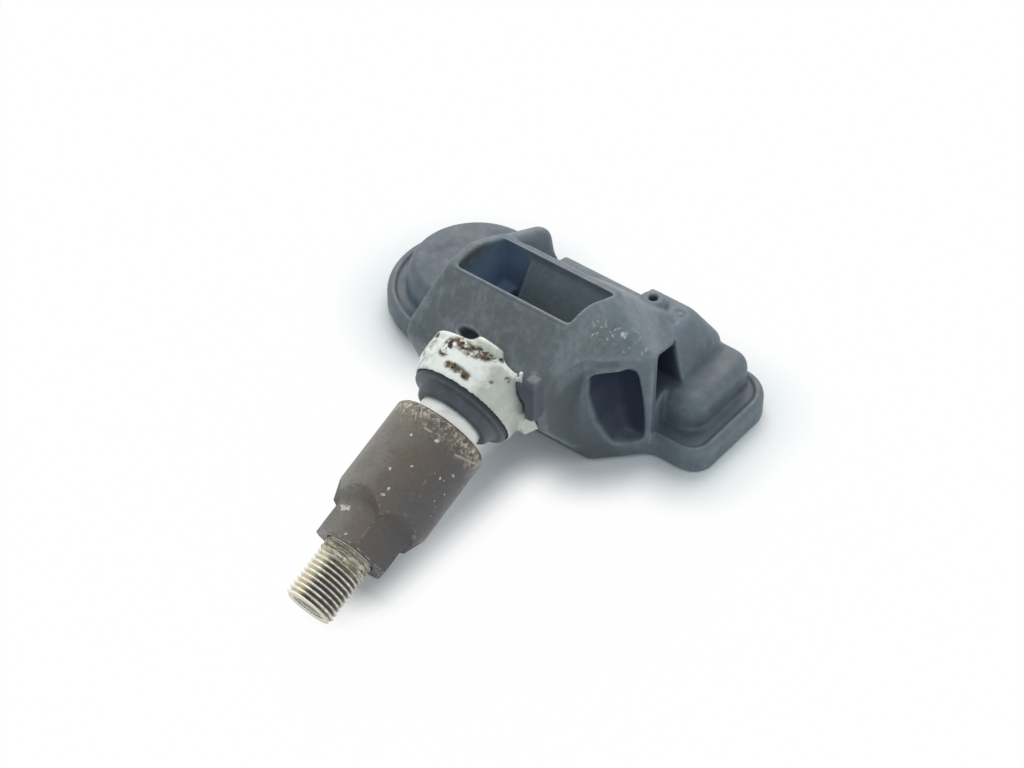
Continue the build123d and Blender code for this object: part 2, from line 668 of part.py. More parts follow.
def battery_tab_bottom():
    """Strip from the board to the cell's lower face."""
    return box(CELL_X, BOARD_LEFT_X + TAB_FOOT, -TAB_Y - TAB_WIDTH / 2, -TAB_Y + TAB_WIDTH / 2,
               PART_LOW, PART_LOW + TAB_THICK)


def battery_tab_top():
    """Bent strip from the cell's upper face down to the board."""
    y_low, y_high = TAB_Y - TAB_WIDTH / 2, TAB_Y + TAB_WIDTH / 2
    low = CELL_TOP + STACK_GAP
    leg = BOARD_LEFT_X + STACK_GAP
    over = box(CELL_X, leg + TAB_THICK, y_low, y_high, low, low + TAB_THICK)
    drop = box(leg, leg + TAB_THICK, y_low, y_high, PART_LOW, low + TAB_THICK)
    foot = box(leg, leg + TAB_FOOT, y_low, y_high, PART_LOW, PART_LOW + TAB_THICK)
    return over + drop + foot


def sensor_chip():
    """Pressure sensor package under the port, with its own inlet."""
    return on_board(PORT_X, PORT_Y, CHIP_SIZE) - Pos(PORT_X, PORT_Y, PART_LOW + CHIP_SIZE[2] / 2) * extrude(
        Circle(PORT_HOLE_R), CHIP_SIZE[2])


def port_gasket():
    """Ring that seals the chip's inlet to the port."""
    low = PART_LOW + CHIP_SIZE[2] + STACK_GAP
    ring = Circle(PORT_R) - Circle(PORT_HOLE_R)
    return Pos(PORT_X, PORT_Y, low) * extrude(ring, TRAY_TOP - STACK_GAP - low)


def coil_core():
    """Ferrite bar of the wake-up coil."""
    lift = (COIL_WINDING_SIZE[2] - COIL_CORE_SIZE[2]) / 2
    return Pos(0, 0, lift) * on_board(COIL_X, COIL_Y, COIL_CORE_SIZE)


def coil_winding():
    """Winding round the ferrite bar."""
    length, width, height = COIL_CORE_SIZE
    slot = on_board(COIL_X, COIL_Y, (2 * length, width + 2 * SEAT_GAP, height + 2 * SEAT_GAP))
    lift = (COIL_WINDING_SIZE[2] - height) / 2 - SEAT_GAP
    return on_board(COIL_X, COIL_Y, COIL_WINDING_SIZE) - Pos(0, 0, lift) * slot


def crystal_can():
    """Crystal in a metal can."""
    return on_board(CRYSTAL_X, PORT_Y, CRYSTAL_SIZE)


def chip_capacitors():
    """Row of chip capacitors."""
    return Compound([on_board(CAPACITOR_X + i * CAPACITOR_PITCH, CAPACITOR_Y, CAPACITOR_SIZE)
                     for i in range(CAPACITOR_COUNT)])


def antenna_strip():
    """Upright metal strip that sends the signal."""
    return on_board(ANTENNA_X, ANTENNA_Y, ANTENNA_SIZE)


PIECES = (housing, base_cover, valve_body, grommet, union_nut, slip_washer, core_barrel, core_gasket,
          core_pin, core_seal, core_spring, fixing_screw, circuit_board, battery_cell,
          battery_tab_bottom, battery_tab_top, sensor_chip, port_gasket, coil_core, coil_winding,
          crystal_can, chip_capacitors, antenna_strip)

os.makedirs("parts", exist_ok=True)
for piece in PIECES:
    export_step(piece(), f"parts/{piece.__name__}.step")
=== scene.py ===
import json
from functools import partial

import bmesh
import bpy
import numpy as np
from mathutils import Matrix, Vector


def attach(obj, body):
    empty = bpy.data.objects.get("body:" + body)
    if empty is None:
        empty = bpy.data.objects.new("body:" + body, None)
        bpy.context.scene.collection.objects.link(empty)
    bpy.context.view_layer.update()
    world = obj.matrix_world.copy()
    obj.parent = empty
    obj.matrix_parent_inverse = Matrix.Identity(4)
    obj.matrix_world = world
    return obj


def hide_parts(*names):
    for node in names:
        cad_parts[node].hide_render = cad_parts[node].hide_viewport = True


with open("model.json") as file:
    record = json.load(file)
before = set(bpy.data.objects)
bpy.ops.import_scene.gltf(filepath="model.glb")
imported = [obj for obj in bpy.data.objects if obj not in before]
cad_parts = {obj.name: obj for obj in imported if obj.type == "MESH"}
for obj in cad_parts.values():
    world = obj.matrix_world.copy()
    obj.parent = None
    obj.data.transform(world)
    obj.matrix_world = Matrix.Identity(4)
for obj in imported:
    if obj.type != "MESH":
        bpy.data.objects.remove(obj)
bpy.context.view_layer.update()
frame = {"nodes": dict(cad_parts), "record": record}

bl_info = {
    "name": "Tyre pressure sensor",
    "version": (1, 0, 0),
    "blender": (4, 5, 0),
    "location": "3D View > Sidebar > Sensor",
    "description": "Dresses the solids of a tyre pressure sensor and sets its studio stage",
    "category": "Object",
}

# The sensor's solids are in metres, and its surfaces are worked out in millimetres.
MM = 0.001

# Valve frame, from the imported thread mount: across is X, inward runs from the tip to the housing, rise
# is square to both. "Along" counts from the tip in millimetres, and angles turn from across towards
# rise.
THREAD_MOUNT = next(m for m in frame["record"]["mounts"] if m["name"] == "valve_thread")
TIP_CHAMFER = 0.5
INWARD = -np.array(THREAD_MOUNT["axis"], float)
ACROSS = np.array((1.0, 0.0, 0.0))
RISE = np.cross(ACROSS, INWARD)
TIP = np.array(THREAD_MOUNT["pos_m"]) / MM - INWARD * (THREAD_MOUNT["dims"]["length_mm"] / 2 + TIP_CHAMFER)

# Places along the valve and radii, in millimetres, as the solids have them. Only the grommet's lip
# starts 0.3 mm further back, so that as much of the shank shows as in the photo.
THREAD_R = THREAD_MOUNT["dims"]["r_mm"]
BORE_R = 2.6
SHANK_R = 4.95
NUT_FACE = 9.7
NUT_STEP = 18.6
NUT_RIM = 31.7
NUT_R = 7.35
NUT_CHAMFER = 0.4
NUT_CONE_R = 5.95
NUT_CONE_SLOPE = 1.4
HEX_FLAT = 5.5
HEX_CUTTER_R = 4.5
HEX_CUTTER_END = 11.4
HEX_RUN_OUT = 40.0
WASHER_SEAT = 30.3
WASHER_R = 6.8
LIP_FRONT = 33.9
SKIRT_FRONT = 35.7
COLLAR_FRONT = 36.5
CUP_FLOOR = 38.6
RUNNING_FIT = 0.08
SEAT_FIT = 0.05
RUBBER_FIT = 0.02

# How far the casting's tip is drawn in under the thread's own surface
CORE_TUCK = 0.6

# Points along and round the nut and the thread
NUT_GRID = (190, 360)
THREAD_GRID = (230, 144)

# Softening: reach and weight for any moulded corner and for the housing's flowing form, and reaches for
# the casting and its lugs
SOFT_REACH, SOFT_WEIGHT = 0.27, 0.5
FLOW_REACH, FLOW_WEIGHT = 1.2, 0.65
CAST_REACH, LUG_REACH = 0.25, 0.9

# Lines on the housing, in millimetres: the front wall in plan from the jaw to the web, the brow and the
# crease over the pocket, the window's front rim, the recess's and the pocket's edges, and where a lever
# slipped
WALL_START = (10.0, -19.0)
WALL_END = (17.2, -11.2)
BROW = ((11.0, -21.5, 23.3), (11.7, -16.9, 20.9), (13.7, -14.8, 20.8), (15.6, -12.6, 21.0))
CREASE = ((10.9, -20.4, 21.3), (11.8, -17.0, 19.4), (13.4, -15.3, 19.3))
WINDOW_RIM = ((-11.3, -21.0, 29.2), (9.0, -21.0, 29.2))
RECESS_EDGE = ((17.1, -11.0, 20.5), (15.2, -3.2, 16.7))
POCKET_EDGE = ((15.1, -13.5, 17.7), (16.9, -11.5, 3.3))
SLIP_LINE = ((11.6, -16.6, 25.8), (14.4, -12.4, 21.8))

# Blocks set into the solids, as low and high corners: a ledge in the window's well, the jaw's top, and
# a sliver of the casting that stands up behind the collar
WELL_LEDGE = ((-11.8, -12.4, 11.0), (-8.9, -10.0, 18.8))
JAW_TOP = ((8.9, -30.9, 18.0), (10.8, -29.0, 25.2))
PRONG = ((7.5, -30.4, 22.2), (8.05, -29.85, 25.3))

# Regions of the housing, as low and high corners
OPEN = np.inf
JAW_BOX = ((7.6, -OPEN, 16.0), (11.0, -28.9, OPEN))
POCKET_BOX = ((10.2, -OPEN, 2.8), (17.1, -10.4, 18.2))
WINDOW_BOX = ((-6.6, -21.2, -OPEN), (9.2, -10.0, OPEN))
WELL_BOX = ((-11.7, -20.6, 11.0), (-6.5, -9.9, OPEN))
RECESS_BOX = ((10.8, -11.0, 8.8), (OPEN, -2.9, 16.8))
RIM_BOX = ((-11.3, -OPEN, -OPEN), (9.0, OPEN, OPEN))

# Ejector marks on the upper tier (x, y and radius), and the dent over the collar
EJECTOR_MARKS = ((12.1, -0.2, 0.95), (12.4, 2.0, 0.7))
EJECTOR_WIDTH = 0.22
EJECTOR_DEPTH = 0.16
EJECTOR_ABOVE = 15.0
DENT_AT = (-3.3, -28.25, 25.05)
DENT_STRETCH = 2.1
DENT_PUSH = (0.0, 0.8, -1.1)

# Runs of pits on the collar, laid out at one radius, each a half width and its (degrees, along) places
PIT_R = 8.2
PIT_RUNS = (
    (0.85, ((110, 39.8), (110, 41.2), (100, 42.0), (86, 41.4), (70, 42.2))),
    (0.55, ((98, 38.2), (85, 38.2), (74, 38.0))),
    (0.35, ((62, 42.2), (56, 42.9))),
    (0.25, ((52, 39.5), (51, 39.5))),
    (0.35, ((41, 41.3), (40, 41.3))),
    (0.4, ((136, 41.9), (134, 41.9))),
)

# Chips of bare metal on the nut (degrees, along and width), and its two scratches
CHIPS = (
    (110, 13.6, 0.8), (104, 13.9, 0.5), (82, 10.6, 0.4), (81, 21.3, 0.4), (70, 17.7, 0.4), (69, 18.8, 0.45),
    (59, 28.3, 0.5), (86, 26.9, 0.35), (64, 23.3, 0.3), (30, 24.6, 0.3), (18, 26.2, 0.4), (-95, 23.0, 0.4),
)
SCRATCHES = (((33, 28.5), (-4, 30.1)), ((78, 28.8), (69, 28.9)))

# Radii between which the grommet is painted black as shade in the gap under the collar
GAP_RADII = (7.72, 7.84)

# Triangles that the housing's skin is thinned to, and the most that a flat's normals and marks may
# change
HOUSING_FACES = 190000
FLAT_CHANGE = 0.02

# Floor lines at near x t + far x t^5, and the share of plain white in the open floor as it is seen. The
# share falls to nothing beside the object, between two distances from the foot and from the line under
# the valve, which keeps the photo's close, dark shadow on a white ground.
FLOOR_LINES = 141
FLOOR_NEAR, FLOOR_FAR = 120.0, 1880.0
FLOOR_LEVEL = -0.02
FLOOR_GLOW = 0.98
FOOT_SHADOW = (1.0, 10.5)
VALVE_SHADOW = (1.0, 8.5)
VALVE_LINE = ((0.0, -22.0, 0.0), (0.0, -57.0, 0.0))

# Light: a cool sky all round and one wide, warmer lamp from behind on the left
SKY_COLOUR, SKY_STRENGTH = (0.87, 0.95, 1.0, 1.0), 0.69
LAMP_COLOUR, LAMP_STRENGTH = (1.0, 0.96, 0.91), 1.5
LAMP_ANGLE = 55.0
LAMP_FROM = (-0.5, 0.75, 0.85)

# Photo camera, fitted to the solids
CAMERA_AT = (0.1676, -0.2324, 0.2610)
CAMERA_BACK = (0.4585, -0.5743, 0.6782)
CAMERA_LENS = 87.89
CAMERA_SENSOR = 36.0


def linear(code):
    """Linear colour of an sRGB hex value."""
    channels = [int(code[i:i + 2], 16) / 255 for i in (0, 2, 4)]
    return tuple(c / 12.92 if c <= 0.04045 else ((c + 0.055) / 1.055) ** 2.4 for c in channels)


def per_mm(size):
    """Texture scale that gives a pattern of this size in millimetres on coordinates in metres."""
    return 1 / (size * MM)


# Sizes and colours


def length(name, text, millimetres):
    """Length property with a default in millimetres."""
    return bpy.props.FloatProperty(name=name, description=text, default=millimetres * MM, min=0.0,
                                   unit="LENGTH", precision=5)


def colour(name, text, code):
    """Colour property with an sRGB hex default."""
    return bpy.props.FloatVectorProperty(name=name, description=text, default=linear(code), size=3, min=0.0,
                                         max=1.0, subtype="COLOR")


class SensorSizes(bpy.types.PropertyGroup):
    """Sizes that the solids leave open."""

    housing_skin: length("Housing skin", "Spacing of the housing's surface points", 0.255)
    collar_skin: length("Collar skin", "Spacing of the cast collar's surface points", 0.2)
    thread_pitch: length("Thread pitch", "Advance of the tip thread in one turn", 0.794)
    thread_depth: length("Thread depth", "Height of the tip thread's crests over its roots", 0.46)
    corroded_end: length("Corroded end", "Length of tip thread beside the nut that corrosion has filled", 2.2)
    nut_edge: length("Nut edge", "Radius that handling has worn onto the nut's edges", 0.12)
    rubber_edge: length("Rubber edge", "Radius of the grommet's moulded edges", 0.45)


class SensorColours(bpy.types.PropertyGroup):
    """Colours of the finishes that show."""

    plastic: colour("Housing plastic", "Moulded housing", "626E78")
    # Painted shade: the housing's upper front, darker where it faces away from the lamp
    plastic_front_shade: colour("Dusty plastic", "Front of the housing, under road dust", "545B5F")
    # Dirt in patches and on low ledges, and painted shade at the foot and on the walls right of the jaw
    plastic_dirt_and_shade: colour("Dirty plastic", "Foot, side and ledges of the housing", "474F55")
    # Painted shade in the pocket, the recess and the dent over the collar, beside the jaw, along a line under
    # the window's front rim and on the left wing
    plastic_shade: colour("Sheltered plastic", "Hollows that dust and sun don't reach", "212C40")
    # Painted light: the walls of the window's well, paler and bluer than their shade would leave them
    plastic_well_light: colour("Clean plastic", "Walls of the window's well", "7C92B0")
    # Worn patches, smears and rubbed edges, painted highlights on the window's and the pocket's rims, and
    # painted light on the hip and the rear hump
    plastic_worn_and_lit: colour("Worn plastic", "Rubbed edges of the housing", "8C979C")
    rubber: colour("Grommet rubber", "Moulded grommet", "49535A")
    anodised: colour("Anodised nut", "Brown-grey anodised skin of the nut", "595756")
    # Painted light on the nut's upper left side, towards the lamp
    anodised_lit: colour("Faded nut", "Side of the nut that the weather has bleached", "85827B")
    oxide: colour("White oxide", "Corroded top of the collar", "F8F8F1")
    stain: colour("Stain", "Brown pits in the oxide", "6A5A42")
    bare_alloy: colour("Bare alloy", "Turned shank and thread", "E9EBE8")
    cast_alloy: colour("Cast alloy", "Sound skin of the collar", "BFC3BC")
    floor: colour("Floor", "Studio floor", "FBFCFC")


# Surfaces


def on_valve(radius, angle, along):
    """Points at a radius, an angle and a distance along the valve: tip + along x inward + radius x
    (cos angle x across + sin angle x rise)."""
    radius, angle, along = np.broadcast_arrays(radius, angle, along)
    return (TIP + along[..., None] * INWARD + (radius * np.cos(angle))[..., None] * ACROSS
            + (radius * np.sin(angle))[..., None] * RISE)


def valve_polar(points):
    """Radius, angle and distance along the valve of points in millimetres."""
    offset = points - TIP
    x, rise = offset @ ACROSS, offset @ RISE
    return np.hypot(x, rise), np.arctan2(rise, x), offset @ INWARD


def ramp(low, high, value):
    """0 below low, 1 above high and the cubic 3t^2 - 2t^3 between them."""
    t = np.clip((value - low) / (high - low), 0, 1)
    return t * t * (3 - 2 * t)


def fall(low, high, value):
    """1 below low and 0 above high: what ramp leaves of 1."""
    return 1 - ramp(low, high, value)


def within(points, low, high):
    """Whether points lie inside a box, given by its low and its high corner."""
    return np.all((points > low) & (points < high), axis=1)


def bell(value, centre, width):
    """1 at the centre, falling as exp(-((value - centre) / width)^2)."""
    return np.exp(-((value - centre) / width) ** 2)


def smooth_least(values, blend):
    """Rounded least of several arrays: -blend x log of the sum of exp(-value / blend)."""
    return -blend * np.logaddexp.reduce([-v / blend for v in values])


def rounded(corners, radius, steps=6):
    """Closed profile with its corners rounded: near each corner the line is the quadratic curve from a
    point before it to a point after it, with the corner as its middle control point."""
    corners = np.array(corners, float)
    before, after = np.roll(corners, 1, 0), np.roll(corners, -1, 0)
    t = np.linspace(0, 1, steps)[:, None, None]
    ends = []
    for other in (before, after):
        span = np.linalg.norm(other - corners, axis=1, keepdims=True)
        ends.append(corners + (other - corners) * np.minimum(radius / span, 0.45))
    curve = (1 - t) ** 2 * ends[0] + 2 * t * (1 - t) * corners + t ** 2 * ends[1]
    return curve.transpose(1, 0, 2).reshape(-1, 2)


def place(mesh, body, node, material):
    """Link a mesh as a piece of its name that rides on a body and stands for a node of the frame."""
    piece = bpy.data.objects.new(mesh.name, mesh)
    bpy.context.scene.collection.objects.link(piece)
    mesh.materials.clear()
    mesh.materials.append(material)
    mesh.shade_smooth()
    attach(piece, body)
    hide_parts(node)
    return piece


def read(items, name, width, kind=np.float32):
    """One property of all of a mesh's vertices, edges or faces, as rows of an array."""
    flat = np.empty(len(items) * width, kind)
    items.foreach_get(name, flat)
    return flat.reshape(-1, width)


def points_of(mesh):
    """Vertices of a mesh as an array, in millimetres."""
    return read(mesh.vertices, "co", 3).astype(float) / MM


def move_points(mesh, points):
    """Set the vertices of a mesh from points in millimetres."""
    mesh.vertices.foreach_set("co", (points * MM).astype(np.float32).ravel())
    mesh.update()


def edges_of(mesh):
    """Edges of a mesh as pairs of vertex numbers."""
    return read(mesh.edges, "vertices", 2, np.int32)


def keep(mesh, name, values):
    """Store one number for each vertex of a mesh."""
    layer = mesh.attributes.get(name) or mesh.attributes.new(name, "FLOAT", "POINT")
    layer.data.foreach_set("value", values.astype(np.float32))


def grid_mesh(name, points):
    """Closed mesh over a grid of points in millimetres. Rows go round and columns follow the profile;
    the last row joins the first and the last column the first. Points that meet are merged and the
    faces turned outwards."""
    rows, columns = points.shape[:2]
    u, v = np.meshgrid(np.arange(rows), np.arange(columns), indexing="ij")
    u_next, v_next = (u + 1) % rows, (v + 1) % columns
    corners = ((u, v), (u_next, v), (u_next, v_next), (u, v_next))
    quads = np.stack([row * columns + column for row, column in corners], -1)
    mesh = bpy.data.meshes.new(name)
    mesh.from_pydata(points.reshape(-1, 3) * MM, [], quads.reshape(-1, 4))
    shape = bmesh.new()
    shape.from_mesh(mesh)
    bmesh.ops.remove_doubles(shape, verts=shape.verts, dist=1e-7)
    bmesh.ops.recalc_face_normals(shape, faces=shape.faces)
    shape.to_mesh(mesh)
    shape.free()
    return mesh


def turned_mesh(name, profile, turns=160):
    """Surface of revolution: the closed (radius, along) profile carried round the valve's axis."""
    angle = np.linspace(0, 2 * np.pi, turns, endpoint=False)[:, None]
    return grid_mesh(name, on_valve(profile[None, :, 0], angle, profile[None, :, 1]))


def neighbour_mean(values, edges):
    """Mean of each point's neighbours along the edges, for one or more columns of values."""
    count = np.bincount(edges.ravel(), minlength=len(values))
    columns = [np.bincount(edges[:, 0], c[edges[:, 1]], len(values))
               + np.bincount(edges[:, 1], c[edges[:, 0]], len(values)) for c in values.T]
    return np.stack(columns, 1) / count[:, None]


def soften(points, edges, weight, passes):
    """Each pass moves every point by its weight times the way to its neighbours' mean, so corners turn
    into rounds and flats stay."""
    for _ in range(passes):
        points = points + weight * (neighbour_mean(points, edges) - points)
    return points


def passes_for(reach, spacing, weight):
    """Passes of soften that round a corner over a reach. Each spreads a point by spacing x sqrt(weight
    / 2)."""
    return round(2 * (reach / spacing) ** 2 / weight)


def normals_of(mesh):
    """Normals of a mesh's vertices."""
    return read(mesh.vertices, "normal", 3).astype(float)


def mark_edges(mesh, radius, spacing):
    """Store how far each point stands out of its neighbours' mean, along its normal: "edge" is 1 where
    it stands out by spacing^2 / (4 radius), as on a round of that radius."""
    points, edges = points_of(mesh), edges_of(mesh)
    lean = np.einsum("ij,ij->i", points - neighbour_mean(points, edges), normals_of(mesh))
    lean = soften(lean[:, None], edges, 0.6, 2)[:, 0]
    edge = np.clip(lean * 4 * radius / spacing ** 2, 0, 1)
    keep(mesh, "edge", edge)
    return edge


def thin_flats(piece, faces):
    """Thin a piece to a number of triangles with a live modifier that keeps to its flats: points that
    face the way their neighbours do and have their mean of every mark. So no corner is lost and no mark
    is smeared."""
    mesh = piece.data
    edges = edges_of(mesh)
    layers = [layer for layer in mesh.attributes if layer.data_type == "FLOAT" and layer.domain == "POINT"]
    marks = np.empty((len(layers), len(mesh.vertices)), np.float32)
    for layer, row in zip(layers, marks):
        layer.data.foreach_get("value", row)
    state = np.column_stack([normals_of(mesh), marks.T])
    change = np.abs(neighbour_mean(state, edges) - state).max(1, keepdims=True)
    change = soften(change, edges, 0.8, 2)[:, 0]
    group = piece.vertex_groups.new(name="flats")
    group.add(np.flatnonzero(change < FLAT_CHANGE).tolist(), 1.0, "REPLACE")
    thin = piece.modifiers.new("Thin", "DECIMATE")
    thin.ratio = min(1.0, faces / (2 * len(mesh.polygons)))
    thin.vertex_group = group.name
    thin.vertex_group_factor = 1000.0


def off_line(points, first, last):
    """Distance of points from the line between two points."""
    first, run = np.array(first, float), np.subtract(last, first)
    share = np.clip((points - first) @ run / (run @ run), 0, 1)
    return np.linalg.norm(points - first - share[:, None] * run, axis=1)


def off_path(points, corners):
    """Distance of points from a line through several corners."""
    return np.min([off_line(points, a, b) for a, b in zip(corners, corners[1:])], axis=0)


def off_run(points, radius, run):
    """Distance of points from a run over a round surface laid flat: arc length at the radius against
    distance along. The run is a list of (degrees, along)."""
    _, angle, along = valve_polar(points)
    flat = np.stack([angle * radius, along], 1)
    return off_path(flat, np.array(run, float) * (np.radians(1) * radius, 1))


def skin_of(name, node, spacing, blocks=()):
    """Even skin of square faces over a copy of a node's solid and the blocks set into it, from a voxel
    remesh at a spacing in millimetres. A block is its low and its high corner."""
    copy = frame["nodes"][node].data.copy()
    shape = bmesh.new()
    shape.from_mesh(copy)
    bmesh.ops.remove_doubles(shape, verts=shape.verts, dist=1e-6)
    for low, high in np.array(blocks, float).reshape(-1, 2, 3) * MM:
        size = Matrix.Diagonal((*(high - low), 1.0))
        bmesh.ops.create_cube(shape, size=1.0, matrix=Matrix.Translation((low + high) / 2) @ size)
    shape.to_mesh(copy)
    shape.free()
    move_points(copy, points_of(copy) / MM)
    rough = bpy.data.objects.new(name + "_rough", copy)
    bpy.context.scene.collection.objects.link(rough)
    remesh = rough.modifiers.new("Skin", "REMESH")
    remesh.mode = "VOXEL"
    remesh.voxel_size = spacing
    bpy.context.view_layer.update()
    mesh = bpy.data.meshes.new_from_object(rough.evaluated_get(bpy.context.evaluated_depsgraph_get()))
    mesh.name = name
    bpy.data.objects.remove(rough)
    bpy.data.meshes.remove(copy)
    move_points(mesh, points_of(mesh) * MM)
    if not len(mesh.polygons):
        raise RuntimeError(f"the skin of {node} is empty")
    return mesh


# Materials


def add(tree, kind, values=None, links=None, **settings):
    """Add a shader node, then set its settings and its input values and link its inputs."""
    made = tree.nodes.new("ShaderNode" + kind)
    for name, value in settings.items():
        setattr(made, name, value)
    for socket, value in (values or {}).items():
        made.inputs[socket].default_value = value
    for socket, source in (links or {}).items():
        tree.links.new(source, made.inputs[socket])
    return made


def start(name, metallic, roughness):
    """New material with its tree, shader and the piece's own Object coordinates."""
    material = bpy.data.materials.new(name)
    material.use_nodes = True
    tree = material.node_tree
    shader = tree.nodes["Principled BSDF"]
    shader.inputs["Metallic"].default_value = metallic
    shader.inputs["Roughness"].default_value = roughness
    return material, tree, shader, add(tree, "TexCoord").outputs["Object"]


def strength(tree, *parts):
    """Product of parts, each a link or the name of a number that the piece stores for its points."""
    links = [add(tree, "Attribute", attribute_name=part).outputs["Fac"] if isinstance(part, str) else part
             for part in parts]
    product = links[0]
    for link in links[1:]:
        product = add(tree, "Math", links={0: product, 1: link}, operation="MULTIPLY").outputs[0]
    return product


def coats(tree, tone, *rows):
    """Tone after several coats in order. A row is a coat's colour, then the parts of its share. Tone
    and colours are linear colours or links."""
    for over, *parts in rows:
        values, links = {}, {0: strength(tree, *parts)}
        for socket, source in ((6, tone), (7, over)):
            if isinstance(source, bpy.types.NodeSocket):
                links[socket] = source
            else:
                values[socket] = (*source, 1.0)
        tone = add(tree, "Mix", values, links, data_type="RGBA").outputs[2]
    return tone


def shaded(colour_made, factor):
    """Linear colour made darker by a factor."""
    return tuple(factor * c for c in colour_made)


def patches(tree, coords, size, low, high, detail=3.0, least=0.0, most=1.0, turn=0.0, stretch=None):
    """Soft-edged patches of a size in millimetres: noise cut between two levels. They may be stretched
    along three axes, the second of which follows the valve, after a turn in degrees about the third."""
    if stretch:
        lie = {"Rotation": (np.arcsin(INWARD[2]), 0.0, np.radians(turn)), "Scale": stretch}
        coords = add(tree, "Mapping", lie, {"Vector": coords}, vector_type="TEXTURE").outputs[0]
    pattern = {"Scale": per_mm(size), "Detail": detail, "Roughness": 0.6}
    noise = add(tree, "TexNoise", pattern, {"Vector": coords})
    return add(tree, "MapRange", {"From Min": low, "From Max": high, "To Min": least, "To Max": most},
               {"Value": noise.outputs["Fac"]}).outputs[0]


def flecks(tree, coords, cell, wide):
    """Single specks, one in each cell of a size in millimetres, as wide as a share of the cell."""
    cells = add(tree, "TexVoronoi", {"Scale": per_mm(cell)}, {"Vector": coords})
    return add(tree, "MapRange", {"From Min": wide, "From Max": wide / 2},
               {"Value": cells.outputs["Distance"]}).outputs[0]


def ragged(tree, mark, noise, low, high):
    """Area with a ragged edge: a stored number + noise, cut between two levels."""
    both = add(tree, "Math", links={0: strength(tree, mark), 1: noise}, operation="ADD")
    return add(tree, "MapRange", {"From Min": low, "From Max": high}, {"Value": both.outputs[0]}).outputs[0]


def settle(made, size, depth, where=None, **sources):
    """Finished material: sources linked to its shader's inputs, where an underscore in a name stands for
    a space, and a bump from noise of a size and a depth in millimetres, everywhere or as strong as a link
    says."""
    material, tree, shader, coords = made
    noise = add(tree, "TexNoise", {"Scale": per_mm(size), "Detail": 4.0}, {"Vector": coords})
    links = {"Height": noise.outputs["Fac"]}
    if where:
        links["Strength"] = where
    bump = add(tree, "Bump", {"Strength": 1.0, "Distance": depth * MM}, links)
    for name, source in {**sources, "Normal": bump.outputs["Normal"]}.items():
        tree.links.new(source, shader.inputs[name.replace("_", " ")])
    return material


def moulded_nylon(look):
    """Glass-filled nylon, injection moulded: matt blue-grey with painted shade, warmer on the upper front,
    darker at the foot and blue-black in the hollows, painted light in the window's well and on the hip,
    dirt in patches and on ledges, the grain of a spark-eroded mould, pale rubbed edges with painted
    highlights on the rims, and white marks where a lever slipped."""
    made = _, tree, shader, coords = start("glass_filled_nylon_moulded", 0.0, 0.5)
    shader.inputs["IOR"].default_value = 1.53
    noise = partial(patches, tree, coords)
    # The real grain is about 0.1 mm. It is drawn at 0.3 mm so that it still shows at the photo's distance.
    speckle = noise(0.3, 0.4, 0.65, 2.0, most=0.22)
    smears = noise(1.5, 0.52, 0.7, 4.0, most=0.35, turn=30.0, stretch=(1.0, 3.0, 1.0))
    tone = coats(
        tree, shaded(look.plastic, 0.86),
        (look.plastic, noise(6.0, 0.3, 0.7)),
        # Painted shade on the upper front, where the faces turn away from the lamp
        (look.plastic_front_shade, "dust"),
        (look.plastic_worn_and_lit, noise(1.4, 0.45, 0.75, most=0.3)),
        (look.plastic_dirt_and_shade, noise(3.6, 0.42, 0.66, most=0.35)),
        (look.plastic_worn_and_lit, "dust", smears),
        # Painted shade at the foot and on the walls right of the jaw, and dirt on the low ledges
        (look.plastic_dirt_and_shade, "dirt"),
        (shaded(look.plastic, 0.6), speckle),
        # Painted shade in the hollows and the dent, beside the jaw, under the window's rim and on the left
        # wing
        (look.plastic_shade, "sheltered"),
        # Painted light on the walls of the window's well
        (look.plastic_well_light, "well"),
        # Rubbed edges, and painted highlights along the window's and the pocket's rims
        (look.plastic_worn_and_lit, "edge", noise(2.0, 0.3, 0.6, least=0.3)),
        # Painted light on the hip, the window's floor and the rear hump, broken in patches
        (look.plastic_worn_and_lit, "faded", noise(0.8, 0.35, 0.7, least=0.2, most=0.45)),
        (linear("C6CBC8"), "scuff", noise(1.9, 0.42, 0.5), noise(0.9, 0.56, 0.62, 4.0)),
    )
    sheen = noise(2.5, 0.3, 0.7, least=0.42, most=0.62)
    dull = add(tree, "Math", links={0: sheen, 1: strength(tree, "sheltered")}, operation="MAXIMUM")
    return settle(made, 0.25, 0.022, Base_Color=tone, Roughness=dull.outputs[0])


def cast_alloy(look):
    """Die-cast aluminium left in road salt: sound satin-grey skin, on top a crust of white oxide with a
    ragged edge, grey-green stain at its side and runs of brown pits with black cores."""
    made = _, tree, _, coords = start("die_cast_aluminium_oxidised", 0.6, 0.45)
    noise = partial(patches, tree, coords)
    crust = ragged(tree, "oxide", noise(1.2, 0.25, 0.75, most=0.6), 0.6, 1.1)
    tone = coats(
        tree, shaded(look.cast_alloy, 0.84),
        (look.cast_alloy, noise(1.8, 0.35, 0.7)),
        (look.oxide, crust),
        (linear("9FAB9C"), "patina", noise(1.1, 0.4, 0.62)),
        (look.stain, "pits", noise(1.5, 0.42, 0.54, 2.0)),
        (linear("352B20"), "pits", noise(1.0, 0.52, 0.6, 2.0)),
    )
    rough = add(tree, "MapRange", {"To Min": 0.42, "To Max": 0.85}, {"Value": crust})
    metal = add(tree, "MapRange", {"To Min": 0.6, "To Max": 0.0}, {"Value": crust})
    return settle(made, 0.5, 0.06, crust, Base_Color=tone, Roughness=rough.outputs[0],
                  Metallic=metal.outputs[0])


def turned_alloy(look):
    """Aluminium bar, turned: near white under a thin film of oxide, with a few darker smears."""
    made = _, tree, _, coords = start("turned_aluminium_bright", 0.55, 0.42)
    smears = patches(tree, coords, 2.2, 0.5, 0.75)
    tone = coats(tree, look.bare_alloy, (shaded(look.bare_alloy, 0.75), smears))
    return settle(made, 0.3, 0.006, Base_Color=tone)


